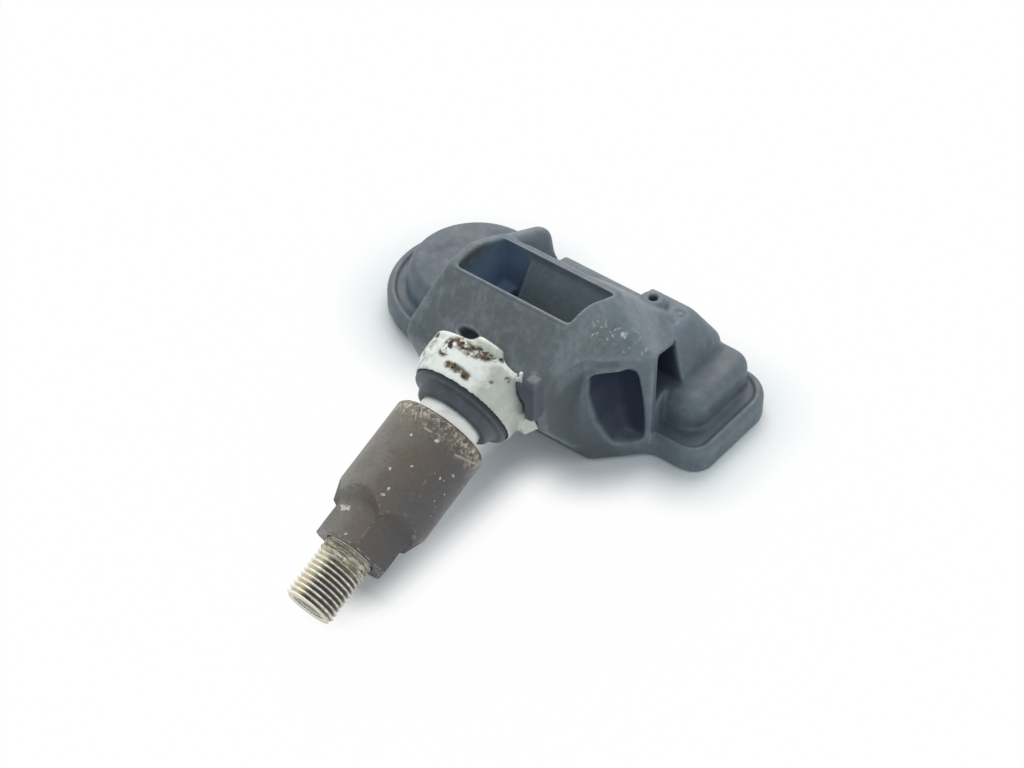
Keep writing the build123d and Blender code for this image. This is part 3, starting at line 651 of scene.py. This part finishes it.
def threaded_alloy():
    """Aluminium thread with salt corrosion: crests bright in places and yellowed in others, painted shade
    that darkens the roots and, in grimy patches, the crests down the side away from the lamp, and beside
    the nut a smeared grey-yellow crust with bright scratches."""
    made = _, tree, _, coords = start("threaded_aluminium_corroded", 0.7, 0.42)
    noise = partial(patches, tree, coords)
    smeared = partial(noise, stretch=(1.0, 0.3, 1.0))
    # Painted shade: the roots and the crests darken down the side away from the lamp, the crests in grimy
    # patches
    roots = coats(tree, linear("D2CAB2"), (linear("55524B"), "grime"))
    bright = coats(tree, linear("FAF4E0"), (linear("FBFAF6"), noise(1.5, 0.4, 0.6)),
                   (linear("6C6A66"), "grime", noise(0.8, 0.35, 0.62, most=0.55)))
    film = strength(tree, "crust", noise(0.8, 0.25, 0.6, least=0.25))
    tone = coats(
        tree, roots,
        (bright, "crest", noise(1.0, 0.3, 0.6, least=0.55)),
        (linear("A49C84"), film),
        (linear("E4DFCB"), "crust", smeared(1.6, 0.53, 0.6, 4.0)),
        (linear("5E5645"), "crust", smeared(1.2, 0.56, 0.64)),
    )
    metal = add(tree, "MapRange", {"To Min": 0.7, "To Max": 0.2}, {"Value": film})
    rough = add(tree, "MapRange", {"To Min": 0.36, "To Max": 0.6}, {"Value": film})
    return settle(made, 0.3, 0.04, Base_Color=tone, Metallic=metal.outputs[0], Roughness=rough.outputs[0])


def anodised_alloy(look):
    """Aluminium, turned, milled and anodised: a satin skin between grey and brown, paler with painted light
    on the side towards the lamp, at the rim a streaked tan and white crust, with scratches, ragged chips
    and fine specks of bare metal."""
    made = _, tree, _, coords = start("anodised_aluminium_worn", 0.25, 0.5)
    noise = partial(patches, tree, coords)
    slants = [noise(0.4, 0.6, 0.65, 2.0, turn=turn, stretch=(1.0, 7.0, 1.0)) for turn in (38.0, -52.0)]
    lines = add(tree, "Math", links=dict(enumerate(slants)), operation="MAXIMUM").outputs[0]
    bare = ragged(tree, "chip", noise(0.28, 0.3, 0.7, 5.0), 1.2, 1.35)
    tone = coats(
        tree, look.anodised,
        # Painted light on the side towards the lamp
        (look.anodised_lit, "weather"),
        (linear("66594C"), "warm", noise(5.0, 0.3, 0.6, most=0.8)),
        (shaded(look.anodised, 0.6), noise(0.5, 0.45, 0.7, most=0.3)),
        (linear("928874"), "rim", noise(2.0, 0.4, 0.62, 5.0)),
        (linear("3B362F"), "rim", noise(1.2, 0.5, 0.58, 4.0, most=0.8)),
        (linear("C5BDA9"), "rim", noise(0.9, 0.55, 0.62, 5.0)),
        (linear("BDB6A6"), "rim", lines),
        (linear("99938A"), "edge", noise(0.8, 0.5, 0.62)),
        (linear("B5B2AC"), "peck", flecks(tree, coords, 0.9, 0.22), noise(1.8, 0.45, 0.55)),
        (linear("CFCBC0"), bare),
        (linear("B5AFA2"), "scratch"),
    )
    satin = noise(2.0, 0.3, 0.7, least=0.42, most=0.56)
    return settle(made, 0.25, 0.012, Base_Color=tone, Roughness=satin)


def moulded_rubber(look):
    """EPDM rubber, compression moulded: smooth dark blue-grey with a faint dusty bloom, and painted shade
    that turns it black in the gap under the collar."""
    made = _, tree, shader, coords = start("epdm_rubber_moulded", 0.0, 0.5)
    shader.inputs["IOR"].default_value = 1.5
    tone = coats(
        tree, shaded(look.rubber, 0.82),
        (look.rubber, patches(tree, coords, 2.5, 0.3, 0.7)),
        (linear("7F898C"), patches(tree, coords, 1.6, 0.5, 0.8, most=0.3)),
        # Painted shade: black in the gap under the collar
        (linear("1A1F24"), "gap"),
    )
    return settle(made, 0.3, 0.006, Base_Color=tone)


def varied(name, under, over, metallic, roughness, size, depth):
    """Finish of a piece that hardly shows: two close tones in patches of a size in millimetres, over a
    grain."""
    made = _, tree, _, coords = start(name, metallic, roughness)
    tone = coats(tree, linear(under), (linear(over), patches(tree, coords, size, 0.35, 0.65)))
    return settle(made, size / 4, depth, Base_Color=tone)


# Each: material name, two tones, metallic, roughness, patch size and grain depth in millimetres.
# Moulded and potted plastics are matt and even, rolled or drawn metals are bright with smears, fired
# ceramics and ferrite are dense and dull, and laminate shows its lacquer.
HIDDEN_FINISHES = {
    "cover_plastic": ("glass_filled_nylon_lid", "525B61", "5E686E", 0.0, 0.55, 4.0, 0.015),
    "screw_steel": ("zinc_plated_steel", "9A9C98", "B9BBB7", 1.0, 0.35, 0.9, 0.01),
    "washer_steel": ("zinc_plated_steel_ring", "B4B3AC", "D2D1CB", 1.0, 0.34, 0.8, 0.01),
    "core_brass": ("turned_brass_dirty", "36332D", "4C473C", 0.4, 0.55, 0.8, 0.01),
    "spring_steel": ("drawn_spring_steel", "8E9092", "B0B2B3", 1.0, 0.3, 0.6, 0.005),
    "board_laminate": ("lacquered_glass_laminate", "1F4A33", "2B5F42", 0.0, 0.35, 1.5, 0.01),
    "cell_steel": ("drawn_nickelled_steel", "B0B0AC", "CACAC6", 1.0, 0.3, 2.5, 0.006),
    "tab_nickel": ("rolled_nickel_strip", "A9A7A0", "C2C0B9", 1.0, 0.32, 1.2, 0.006),
    "chip_resin": ("moulded_epoxy", "1C1D1F", "292B2D", 0.0, 0.5, 1.0, 0.01),
    "ferrite": ("sintered_ferrite", "2C2A29", "3A3736", 0.1, 0.6, 0.8, 0.015),
    "winding_copper": ("enamelled_copper_wire", "8A4A28", "A8613A", 0.9, 0.32, 0.4, 0.03),
    "chip_ceramic": ("fired_ceramic", "8A7B66", "A3937C", 0.0, 0.5, 0.6, 0.01),
}


# Pieces


def wall_normal():
    """Direction that the front wall faces: square to its line in plan."""
    run = np.subtract(WALL_END, WALL_START) / np.hypot(*np.subtract(WALL_END, WALL_START))
    return np.array((run[1], -run[0], 0.0))


def pocket_depth(points):
    """How far points lie behind the front wall's plane inside the pocket, in millimetres, and 0
    elsewhere."""
    depth = -(points - (*WALL_START, 0.0)) @ wall_normal()
    return np.where(within(points, *POCKET_BOX), depth, 0)


def on_hip(points):
    """How far points lie on the hip, the shoulder above the pocket, from 0 to 1."""
    x, y, z = points.T
    return ramp(8.8, 10.6, x) * ramp(18.4, 20.6, z) * ramp(-27.0, -25.0, y)


def flowing(points):
    """How far the housing is one flowing form, from 0 to 1: most at the hip, the upper tier's end, the
    front's foot, the pocket's back and side and the left wing's lip, less on the rear hump and least on
    the tiers' edges. The recess keeps its edge."""
    x, y, z = points.T
    crisp = ramp(0.5, 2.0, off_line(points, *RECESS_EDGE))
    end = ramp(12.0, 14.0, x) * ramp(-3.4, -1.4, y) * ramp(10.0, 12.0, z)
    tiers = ramp(6.6, 7.4, z) * fall(9.4, 10.2, z) * ((x < -13.4) | (x > 17.6) | (y > 3.0))
    left_lip = ramp(5.6, 6.6, z) * fall(9.8, 10.8, z) * fall(-16.0, -14.0, x)
    foot = fall(2.5, 5.0, z) * fall(-12.0, -9.5, y)
    pocket_side = bell(off_line(points, *POCKET_EDGE), 0, 1.0)
    pocket_back = ramp(2.0, 3.4, pocket_depth(points))
    hump = 0.4 * ramp(-9.2, -8.2, y) * ramp(15.5, 17.5, z) * (x < -8.0)
    return np.maximum.reduce([on_hip(points) * crisp, end * crisp, 0.2 * tiers, 0.9 * left_lip, foot,
                              pocket_side, hump, pocket_back])


def housing_mesh(sizes):
    """Skin of the housing, softened a little all over as a mould's corners are, and more where it is
    one flowing form. A brow and a crease follow the pocket's top, two ejector marks are sunk rings, all
    height or depth x bell of the distance. A dent over the collar falls smoothly to nothing."""
    spacing = sizes.housing_skin / MM
    mesh = skin_of("housing_moulding", "housing", spacing, [WELL_LEDGE, JAW_TOP])
    raw, edges = points_of(mesh), edges_of(mesh)
    points = soften(raw, edges, SOFT_WEIGHT, passes_for(SOFT_REACH, spacing, SOFT_WEIGHT))
    weight = FLOW_WEIGHT * flowing(raw)[:, None]
    points = soften(points, edges, weight, passes_for(FLOW_REACH, spacing, FLOW_WEIGHT))
    lift = 0.4 * bell(off_path(points, BROW), 0, 0.7) - 0.5 * bell(off_path(points, CREASE), 0, 0.5)
    points += lift[:, None] * wall_normal()
    for mark_x, mark_y, radius in EJECTOR_MARKS:
        ring = bell(np.hypot(points[:, 0] - mark_x, points[:, 1] - mark_y), radius, EJECTOR_WIDTH)
        points[:, 2] -= EJECTOR_DEPTH * ring * (points[:, 2] > EJECTOR_ABOVE)
    off = points - DENT_AT
    dent = fall(0.55, 1.0, np.hypot(off[:, 0] / DENT_STRETCH, np.linalg.norm(off[:, 1:], axis=1)))
    points += dent[:, None] * DENT_PUSH
    floor = raw[:, 2] < 1.0
    points[floor, 2] = np.clip(points[floor, 2], 0, None)
    move_points(mesh, points)
    mark_housing(mesh, raw, points, dent, spacing)
    return mesh


def mark_housing(mesh, raw, points, dent, spacing):
    """Store where the housing is rubbed or scuffed, where it is dirty, and where painted light, painted
    highlights and painted shade lie, from its points before and after softening."""
    x, y, z = raw.T
    behind_wall = pocket_depth(raw)
    jaw = within(raw, *JAW_BOX)
    off_rim = off_line(points, *WINDOW_RIM)
    # Painted highlights along the window's front rim and just inside the pocket's rim
    window_rim_highlight = 0.9 * fall(0.2, 0.5, off_rim) * within(raw, *RIM_BOX)
    pocket_rim_highlight = 0.45 * (behind_wall > 0.02) * fall(0.2, 0.6, behind_wall)
    edge = mark_edges(mesh, 0.35, spacing) * fall(0.5, 1.2, behind_wall) * (1 - 0.8 * jaw)
    keep(mesh, "edge", np.maximum.reduce([edge, window_rim_highlight, pocket_rim_highlight]))
    keep(mesh, "scuff", fall(0.8, 2.8, off_line(points, *SLIP_LINE)))
    # Painted light on the hip, the window's floor and the rear hump
    in_window = within(raw, *WINDOW_BOX) * fall(26.0, 28.5, z)
    behind = 0.6 * ramp(-9.5, -8.0, y) * ramp(14.0, 16.0, z) * (x < 6.0)
    keep(mesh, "faded", np.maximum.reduce([on_hip(raw), 0.7 * in_window, behind]))

    x, y, z = points.T
    normal = normals_of(mesh)
    up = np.clip(normal[:, 2], 0, 1)
    recess = fall(15.0, 18.0, x) * within(points, *RECESS_BOX)
    # Painted shade in the pocket and the recess, less on upward faces, in the dent over the collar, as a dark
    # line under the window's front rim, on the jaw's sides and on the left wing, more on its tops
    sheltered = np.maximum(ramp(0.2, 0.9, behind_wall), recess) * (1 - 0.75 * up)
    rim_line = 0.6 * fall(0.1, 0.4, np.abs(off_rim - 0.8)) * (y < -21.1) * within(points, *RIM_BOX)
    jaw_side = 0.4 * jaw * fall(0.3, 0.8, normal[:, 2])
    wing = (0.12 + 0.25 * up) * fall(-15.5, -13.0, x)
    keep(mesh, "sheltered", np.maximum.reduce([sheltered, 0.9 * dent, rim_line, jaw_side, wing]))
    front = fall(-16.0, -11.0, y)
    # Painted shade on the upper front, which faces away from the lamp
    keep(mesh, "dust", front * ramp(14.0, 20.0, z))
    # Painted shade at the front's foot and on the walls right of the jaw that face away from the lamp; dirt
    # on the low ledges
    foot = front * fall(5.0, 18.0, z) * fall(0.2, 0.7, normal[:, 2])
    side = ramp(0.4, 0.9, normal[:, 0]) * (y < -19.5) * fall(22.0, 25.0, z)
    ledges = 0.7 * fall(6.0, 13.0, z) * up * ramp(-14.0, -8.0, x)
    keep(mesh, "dirt", 0.85 * np.maximum.reduce([foot, side, ledges]))
    # Painted light on the walls of the window's well
    keep(mesh, "well", fall(23.0, 29.0, z) * within(points, *WELL_BOX))


def collar_mesh(sizes):
    """Skin of the valve body, softened, and more so at its upper lug, with a bulge and a lip of the
    casting on its left: radius + height x bell of the angle. Its tip is drawn in under the thread,
    whose surface is a piece of its own."""
    spacing = sizes.collar_skin / MM
    mesh = skin_of("valve_body_casting", "valve_body", spacing, [PRONG])
    points, edges = points_of(mesh), edges_of(mesh)
    radius, angle, along = valve_polar(points)
    lugs = ramp(40.8, 42.0, along) * ramp(5.5, 6.5, radius) * ramp(10, 30, np.degrees(angle))
    sturdy = ramp(0.7, 1.6, off_line(points, *PRONG))[:, None]
    weight = SOFT_WEIGHT * np.maximum(sturdy, 0.1)
    points = soften(points, edges, weight, passes_for(CAST_REACH, spacing, SOFT_WEIGHT))
    weight = FLOW_WEIGHT * lugs[:, None] * sturdy
    points = soften(points, edges, weight, passes_for(LUG_REACH, spacing, FLOW_WEIGHT))
    radius, angle, along = valve_polar(points)
    degrees = np.degrees(angle)
    swell = ramp(COLLAR_FRONT, 39.0, along) * fall(41.5, 43.4, along) * (radius > 7.0)
    radius = radius + 0.55 * bell(degrees, 150, 38) * swell
    lip = ramp(41.5, 42.8, along) * fall(43.4, 44.0, along) * (radius > 7.0)
    radius = radius + 0.6 * bell(degrees, 132, 22) * lip
    slim = np.where((along < NUT_FACE - 0.15) & (radius > 3.1), THREAD_R - CORE_TUCK, radius)
    points = on_valve(slim, angle, np.maximum(along, 0.35))
    move_points(mesh, points)
    mark_collar(mesh, points, degrees, along)
    return mesh


def mark_collar(mesh, points, degrees, along):
    """Store where the collar has oxide, which lies on its top, a stain on its left, and pits in two
    runs and a few spots."""
    on_collar = ramp(COLLAR_FRONT - 0.4, COLLAR_FRONT, along)
    top = ramp(42, 74, degrees) * fall(150, 178, degrees)
    strip = 0.8 * ramp(41.6, 42.4, along) * ramp(22, 40, degrees) * fall(60, 70, degrees)
    fin = ramp(42.2, 42.9, along) * ramp(52, 60, degrees) * fall(92, 104, degrees)
    oxide = np.maximum(top, strip) * (1 - 0.8 * fin)
    keep(mesh, "oxide", oxide * on_collar * fall(43.6, 44.6, along))
    stain = np.maximum(bell(degrees, 136, 16) * fall(41.0, 42.6, along), fin)
    keep(mesh, "patina", stain * on_collar)
    pits = [fall(0.6 * wide, 1.5 * wide, off_run(points, PIT_R, run)) for wide, run in PIT_RUNS]
    keep(mesh, "pits", np.max(pits, axis=0) * on_collar)


def lathed_mesh(name, angle, along, outer, inner):
    """Surface of an outer radius over a grid of angles and places along, closed through an inner
    (radius, along) profile."""
    radius = np.concatenate([outer, np.broadcast_to(inner[:, 0], (len(angle), len(inner)))], 1)
    along = np.concatenate([along[0], inner[:, 1]])
    return grid_mesh(name, on_valve(radius, angle, along[None, :]))


def thread_mesh(sizes):
    """Tip thread: radius = root + depth x crest, where crest is a rounded triangle wave of (along /
    pitch - angle / turn), faded at the chamfered tip and where corrosion has filled it beside the nut.
    The profile closes over the end face and back through the bore."""
    pitch, depth = sizes.thread_pitch / MM, sizes.thread_depth / MM
    end = NUT_FACE - 0.1
    filled = end - sizes.corroded_end / MM
    angle = np.linspace(0, 2 * np.pi, THREAD_GRID[1], endpoint=False)[:, None]
    along = np.linspace(0.0, end, THREAD_GRID[0])[None, :]
    wave = np.abs(2 * np.mod(along / pitch - angle / (2 * np.pi), 1) - 1)
    crest = ramp(0.08, 0.92, wave)
    lump = 0.5 + 0.28 * np.sin(3 * angle + 2.1 * along) + 0.22 * np.sin(5 * angle - 3.7 * along)
    fill = ramp(filled - 0.6, filled + 1.0, along + 1.2 * (lump - 0.5)) * 0.7
    height = crest + (0.6 + 0.4 * lump - crest) * fill
    top = np.minimum(THREAD_R, THREAD_R - 0.25 + along * 0.6)
    outer = np.clip(top - depth * (1 - height), THREAD_R - depth - 0.1, THREAD_R)
    face = np.array([(2.85, end), (2.85, 0.7), (BORE_R, 0.4), (BORE_R, 0.12), (2.72, 0.0)])
    mesh = lathed_mesh("valve_tip_thread", angle, along, outer, face)
    radius, angle, along = valve_polar(points_of(mesh))
    crest = ramp(THREAD_R - depth, THREAD_R - 0.05, radius)
    keep(mesh, "crest", np.where(along < 0.4, ramp(0.0, 0.2, along), crest))
    keep(mesh, "crust", ramp(filled - 0.8, filled + 0.6, along + 0.6 * np.sin(2 * angle)))
    # Painted shade down the thread's side away from the lamp
    keep(mesh, "grime", fall(78, 112, np.abs(np.degrees(angle))) * (along > 0.3))
    return mesh


def hex_radius(angle, along):
    """Radius of the milled flats: the largest r with r cos d <= flat + (p - w) / tan(run-out) wherever
    p passes w, where d is the angle from the nearest flat's middle and p the distance from the cutter's
    line or round end. Halving the interval finds it for the whole grid."""
    lean = np.mod(angle, np.pi / 3) - np.pi / 6
    past = np.maximum(along - HEX_CUTTER_END, 0)
    low, high = np.broadcast_arrays(HEX_FLAT + 0 * lean + 0 * along, NUT_R + 1.0)
    for _ in range(30):
        middle = (low + high) / 2
        clear = np.maximum(np.hypot(past, middle * np.sin(lean)) - HEX_CUTTER_R, 0)
        inside = middle * np.cos(lean) <= HEX_FLAT + clear / np.tan(np.radians(HEX_RUN_OUT))
        low = np.where(inside, middle, low)
        high = np.where(inside, high, middle)
    return low


def nut_mesh(sizes):
    """Union nut: the rounded least of a cylinder, the milled flats, the chamfer cone of the tip end and
    the rim's chamfer, carried round the valve's axis and closed through the washer seat and the two
    bores."""
    edge = sizes.nut_edge / MM
    angle = np.linspace(0, 2 * np.pi, NUT_GRID[1], endpoint=False)[:, None]
    along = np.linspace(NUT_FACE, NUT_RIM, NUT_GRID[0])[None, :]
    flats = hex_radius(angle, along)
    cone = NUT_CONE_R + (along - NUT_FACE) * NUT_CONE_SLOPE + 0 * angle
    rim = NUT_R - NUT_CHAMFER + (NUT_RIM - along) + 0 * angle
    outer = smooth_least([flats, cone, rim, NUT_R + 0 * flats], edge / 2)
    steps = ((WASHER_R, NUT_RIM), (WASHER_R, WASHER_SEAT), (SHANK_R, WASHER_SEAT), (SHANK_R, NUT_STEP),
             (THREAD_R, NUT_STEP), (THREAD_R, NUT_FACE))
    inner = rounded([(radius + RUNNING_FIT, at) for radius, at in steps], 0.15, 5)
    mesh = lathed_mesh("union_nut_anodised", angle, along, outer, inner)
    mark_edges(mesh, edge, (NUT_RIM - NUT_FACE) / NUT_GRID[0])
    mark_nut(mesh)
    return mesh


def mark_nut(mesh):
    """Store where the nut's rim is crusted, its side pecked, chipped, brown or scratched, and where
    painted light falls on its side towards the lamp.
    """
    points = points_of(mesh)
    radius, angle, along = valve_polar(points)
    degrees = np.degrees(angle)
    outside = radius > HEX_FLAT - 0.2
    worn_sides = np.maximum(bell(degrees, 110, 26), bell(degrees, 14, 30))
    rim = ramp(NUT_RIM - 4.6, NUT_RIM - 0.6, along) * (0.45 + 0.55 * worn_sides)
    keep(mesh, "rim", rim * (radius > WASHER_R))
    keep(mesh, "peck", bell(degrees, 12, 28) * bell(along, 23.5, 4.0) * outside)
    chips = np.zeros(len(along))
    for turn, place_along, wide in CHIPS:
        apart = np.hypot(np.radians(degrees - turn) * radius, along - place_along)
        chips = np.maximum(chips, fall(0.2 * wide, 1.3 * wide, apart))
    keep(mesh, "chip", chips * outside)
    # Painted light on the nut's upper left side, towards the lamp
    keep(mesh, "weather", bell(degrees, 122, 44))
    keep(mesh, "warm", bell(degrees, 78, 40))
    lines = np.min([off_run(points, NUT_R, run) for run in SCRATCHES], axis=0)
    keep(mesh, "scratch", 0.8 * fall(0.05, 0.18, lines) * outside)


def ring_profiles(sizes):
    """Closed (radius, along) profiles of the rings on the shank, with moulded or broken corners."""
    rubber = sizes.rubber_edge / MM
    bore = SHANK_R + RUBBER_FIT
    back = CUP_FLOOR - SEAT_FIT
    front = WASHER_SEAT + SEAT_FIT
    return {
        "grommet": rounded([(bore, LIP_FRONT), (5.85, LIP_FRONT), (6.6, SKIRT_FRONT - 0.2),
                            (7.8, SKIRT_FRONT + 0.1), (7.85, back), (bore, back)], rubber, 8),
        "slip_washer": rounded([(SHANK_R + RUNNING_FIT, front), (WASHER_R, front), (WASHER_R, NUT_RIM),
                                (SHANK_R + RUNNING_FIT, NUT_RIM)], 0.18, 6),
    }


def core_profiles():
    """Closed (radius, along) profiles of the valve core's barrel and of its pin, which ends on the
    axis."""
    return {
        "core_barrel": rounded([(1.35, 1.0), (2.5, 1.0), (2.5, 6.5), (1.9, 6.5), (1.9, 13.9), (0.53, 13.9),
                                (0.53, 9.5), (1.35, 9.5)], 0.2, 5),
        "core_pin": np.array([(0.0, 0.5), (0.3, 0.52), (0.42, 0.6), (0.45, 0.75), (0.45, 2.1), (1.2, 2.1),
                              (1.2, 2.6), (0.45, 2.6), (0.45, 14.65), (1.5, 14.65), (1.5, 15.45),
                              (0.0, 15.45)]),
    }


class SensorOperator:
    """What the operators share: each makes its pieces from the scene's sizes and colours."""

    bl_options = {"REGISTER", "UNDO"}

    def execute(self, context):
        self.make(context.scene.sensor_sizes, context.scene.sensor_colours)
        return {"FINISHED"}


class SENSOR_OT_housing(SensorOperator, bpy.types.Operator):
    """Make the moulded housing"""

    bl_idname = "sensor.housing"
    bl_label = "Housing"

    def make(self, sizes, look):
        mesh = housing_mesh(sizes)
        piece = place(mesh, "sensor", "housing", moulded_nylon(look))
        thin_flats(piece, HOUSING_FACES)


class SENSOR_OT_valve(SensorOperator, bpy.types.Operator):
    """Make the valve body with its cast collar, bright shank and tip thread"""

    bl_idname = "sensor.valve"
    bl_label = "Valve body and thread"

    def make(self, sizes, look):
        mesh = collar_mesh(sizes)
        place(mesh, "sensor", "valve_body", cast_alloy(look))
        mesh.materials.append(turned_alloy(look))
        radius, _, along = valve_polar(read(mesh.polygons, "center", 3) / MM)
        shank = (along < COLLAR_FRONT) | ((radius < SHANK_R + 0.3) & (along < CUP_FLOOR))
        mesh.polygons.foreach_set("material_index", shank.astype(np.int32))
        place(thread_mesh(sizes), "sensor", "valve_body", threaded_alloy())


class SENSOR_OT_nut(SensorOperator, bpy.types.Operator):
    """Make the union nut"""

    bl_idname = "sensor.nut"
    bl_label = "Union nut"

    def make(self, sizes, look):
        place(nut_mesh(sizes), "nut", "union_nut", anodised_alloy(look))


class SENSOR_OT_rings(SensorOperator, bpy.types.Operator):
    """Make the grommet and the slip washer"""

    bl_idname = "sensor.rings"
    bl_label = "Grommet and slip washer"

    def make(self, sizes, look):
        profiles = ring_profiles(sizes)
        rows = (("grommet", "sensor", "seal_rubber", moulded_rubber(look)),
                ("slip_washer", "washer", "washer_steel", varied(*HIDDEN_FINISHES["washer_steel"])))
        for node, body, slot, material in rows:
            mesh = turned_mesh(node + "_ring", profiles[node])
            # Painted shade: the grommet goes black in the gap under the collar
            keep(mesh, "gap", ramp(*GAP_RADII, valve_polar(points_of(mesh))[0]))
            place(mesh, body, node, material)


class SENSOR_OT_core(SensorOperator, bpy.types.Operator):
    """Make the valve core's barrel and pin"""

    bl_idname = "sensor.core"
    bl_label = "Valve core"

    def make(self, sizes, look):
        brass = varied(*HIDDEN_FINISHES["core_brass"])
        for node, body in (("core_barrel", "sensor"), ("core_pin", "core_plunger")):
            mesh = turned_mesh(node + "_brass", core_profiles()[node], 72)
            place(mesh, body, node, brass)


class SENSOR_OT_inside(SensorOperator, bpy.types.Operator):
    """Give the base cover, the screw and the pieces inside their finishes"""

    bl_idname = "sensor.inside"
    bl_label = "Cover, screw and electronics"

    def make(self, sizes, look):
        made = {slot: varied(*row) for slot, row in HIDDEN_FINISHES.items()}
        made["seal_rubber"] = moulded_rubber(look)
        for part in frame["record"]["subparts"]:
            piece = frame["nodes"][part["node"]]
            if piece.hide_render:
                continue
            if part["material_slot"] not in made:
                raise RuntimeError(f"no finish for {part['node']}")
            piece.data.materials.clear()
            piece.data.materials.append(made[part["material_slot"]])


def seen(tree):
    """1 for what the camera sees, also in metal or through glass, and 0 for light on its way to a
    surface."""
    path = add(tree, "LightPath").outputs
    found = path["Is Camera Ray"]
    for ray in ("Is Glossy Ray", "Is Transmission Ray"):
        found = add(tree, "Math", links={0: found, 1: path[ray]}, operation="MAXIMUM").outputs[0]
    return found


def floor_mesh():
    """Square floor just under the object: both ways its lines lie at near x t + far x t^5, for t from
    -1 to 1. "Open" is the share of white, which rises with the distance from the housing's foot and
    from the line under the valve."""
    t = np.linspace(-1, 1, FLOOR_LINES)
    lines = FLOOR_NEAR * t + FLOOR_FAR * t ** 5
    x, y = np.meshgrid(lines, lines, indexing="ij")
    points = np.stack([x.ravel(), y.ravel(), np.full(x.size, FLOOR_LEVEL)], 1)
    corner = np.arange(x.size).reshape(x.shape)
    quads = np.stack([corner[:-1, :-1], corner[1:, :-1], corner[1:, 1:], corner[:-1, 1:]], -1)
    mesh = bpy.data.meshes.new("studio_floor")
    mesh.from_pydata(points * MM, [], quads.reshape(-1, 4))
    foot = points_of(bpy.data.objects["housing_moulding"].data)
    foot = foot[foot[:, 2] < 2.0][::40, :2]
    off_foot = np.min([np.hypot(*(points[:, :2] - spot).T) for spot in foot], axis=0)
    off_valve = off_line(points, *VALVE_LINE)
    clear = FLOOR_GLOW * ramp(*FOOT_SHADOW, off_foot) * ramp(*VALVE_SHADOW, off_valve)
    keep(mesh, "open", clear)
    return mesh


class SENSOR_OT_stage(SensorOperator, bpy.types.Operator):
    """Set the floor, the light and the photo's camera"""

    bl_idname = "sensor.stage"
    bl_label = "Stage"

    def make(self, sizes, look):
        scene = bpy.context.scene
        scene.view_settings.view_transform = "Standard"
        mesh = floor_mesh()
        floor = bpy.data.objects.new("studio_floor", mesh)
        scene.collection.objects.link(floor)
        material, tree, shader, _ = start("matt_white_board", 0.0, 0.9)
        shader.inputs["Base Color"].default_value = (*look.floor, 1.0)
        shader.inputs["Specular IOR Level"].default_value = 0.0
        glow = add(tree, "Emission")
        paler = strength(tree, "open", seen(tree))
        both = add(tree, "MixShader", links={0: paler, 1: shader.outputs[0], 2: glow.outputs[0]})
        tree.links.new(both.outputs[0], tree.nodes["Material Output"].inputs["Surface"])
        mesh.materials.append(material)

        world = bpy.data.worlds.new("studio")
        scene.world = world
        world.use_nodes = True
        tree = world.node_tree
        sky = tree.nodes["Background"]
        sky.inputs["Color"].default_value = SKY_COLOUR
        sky.inputs["Strength"].default_value = SKY_STRENGTH
        white = add(tree, "Background", {"Color": (1.0, 1.0, 1.0, 1.0), "Strength": 1.0})
        both = add(tree, "MixShader", links={0: seen(tree), 1: sky.outputs[0], 2: white.outputs[0]})
        tree.links.new(both.outputs[0], tree.nodes["World Output"].inputs["Surface"])

        sun = bpy.data.lights.new("softbox", "SUN")
        sun.energy = LAMP_STRENGTH
        sun.color = LAMP_COLOUR
        sun.angle = np.radians(LAMP_ANGLE)
        lamp = bpy.data.objects.new("softbox", sun)
        scene.collection.objects.link(lamp)
        lamp.rotation_mode = "QUATERNION"
        lamp.rotation_quaternion = Vector(LAMP_FROM).to_track_quat("Z", "Y")

        view = bpy.data.cameras.new("photo_camera")
        view.sensor_width = CAMERA_SENSOR
        view.lens = CAMERA_LENS
        view.clip_start = 0.01
        camera = bpy.data.objects.new("photo_camera", view)
        scene.collection.objects.link(camera)
        camera.location = CAMERA_AT
        camera.rotation_mode = "QUATERNION"
        camera.rotation_quaternion = (-Vector(CAMERA_BACK)).to_track_quat("-Z", "Y")
        scene.camera = camera


OPERATORS = (SENSOR_OT_housing, SENSOR_OT_valve, SENSOR_OT_nut, SENSOR_OT_rings, SENSOR_OT_core,
             SENSOR_OT_inside, SENSOR_OT_stage)


class SENSOR_PT_pieces(bpy.types.Panel):
    """Lists the sensor's pieces, sizes and colours"""

    bl_idname = "SENSOR_PT_pieces"
    bl_label = "Tyre pressure sensor"
    bl_space_type = "VIEW_3D"
    bl_region_type = "UI"
    bl_category = "Sensor"

    def draw(self, context):
        for operator in OPERATORS:
            self.layout.operator(operator.bl_idname)
        for group in (context.scene.sensor_sizes, context.scene.sensor_colours):
            for name in group.bl_rna.properties.keys():
                if name not in ("rna_type", "name"):
                    self.layout.prop(group, name)


CLASSES = (SensorSizes, SensorColours, *OPERATORS, SENSOR_PT_pieces)


def register():
    """Register the classes and hang their settings on the scene."""
    for item in CLASSES:
        bpy.utils.register_class(item)
    bpy.types.Scene.sensor_sizes = bpy.props.PointerProperty(type=SensorSizes)
    bpy.types.Scene.sensor_colours = bpy.props.PointerProperty(type=SensorColours)


def unregister():
    """Take the settings and the classes away again."""
    del bpy.types.Scene.sensor_colours
    del bpy.types.Scene.sensor_sizes
    for item in reversed(CLASSES):
        bpy.utils.unregister_class(item)


def main():
    """Make every piece and the stage."""
    register()
    bpy.ops.sensor.housing()
    bpy.ops.sensor.valve()
    bpy.ops.sensor.nut()
    bpy.ops.sensor.rings()
    bpy.ops.sensor.core()
    bpy.ops.sensor.inside()
    bpy.ops.sensor.stage()


if __name__ == "__main__":
    main()
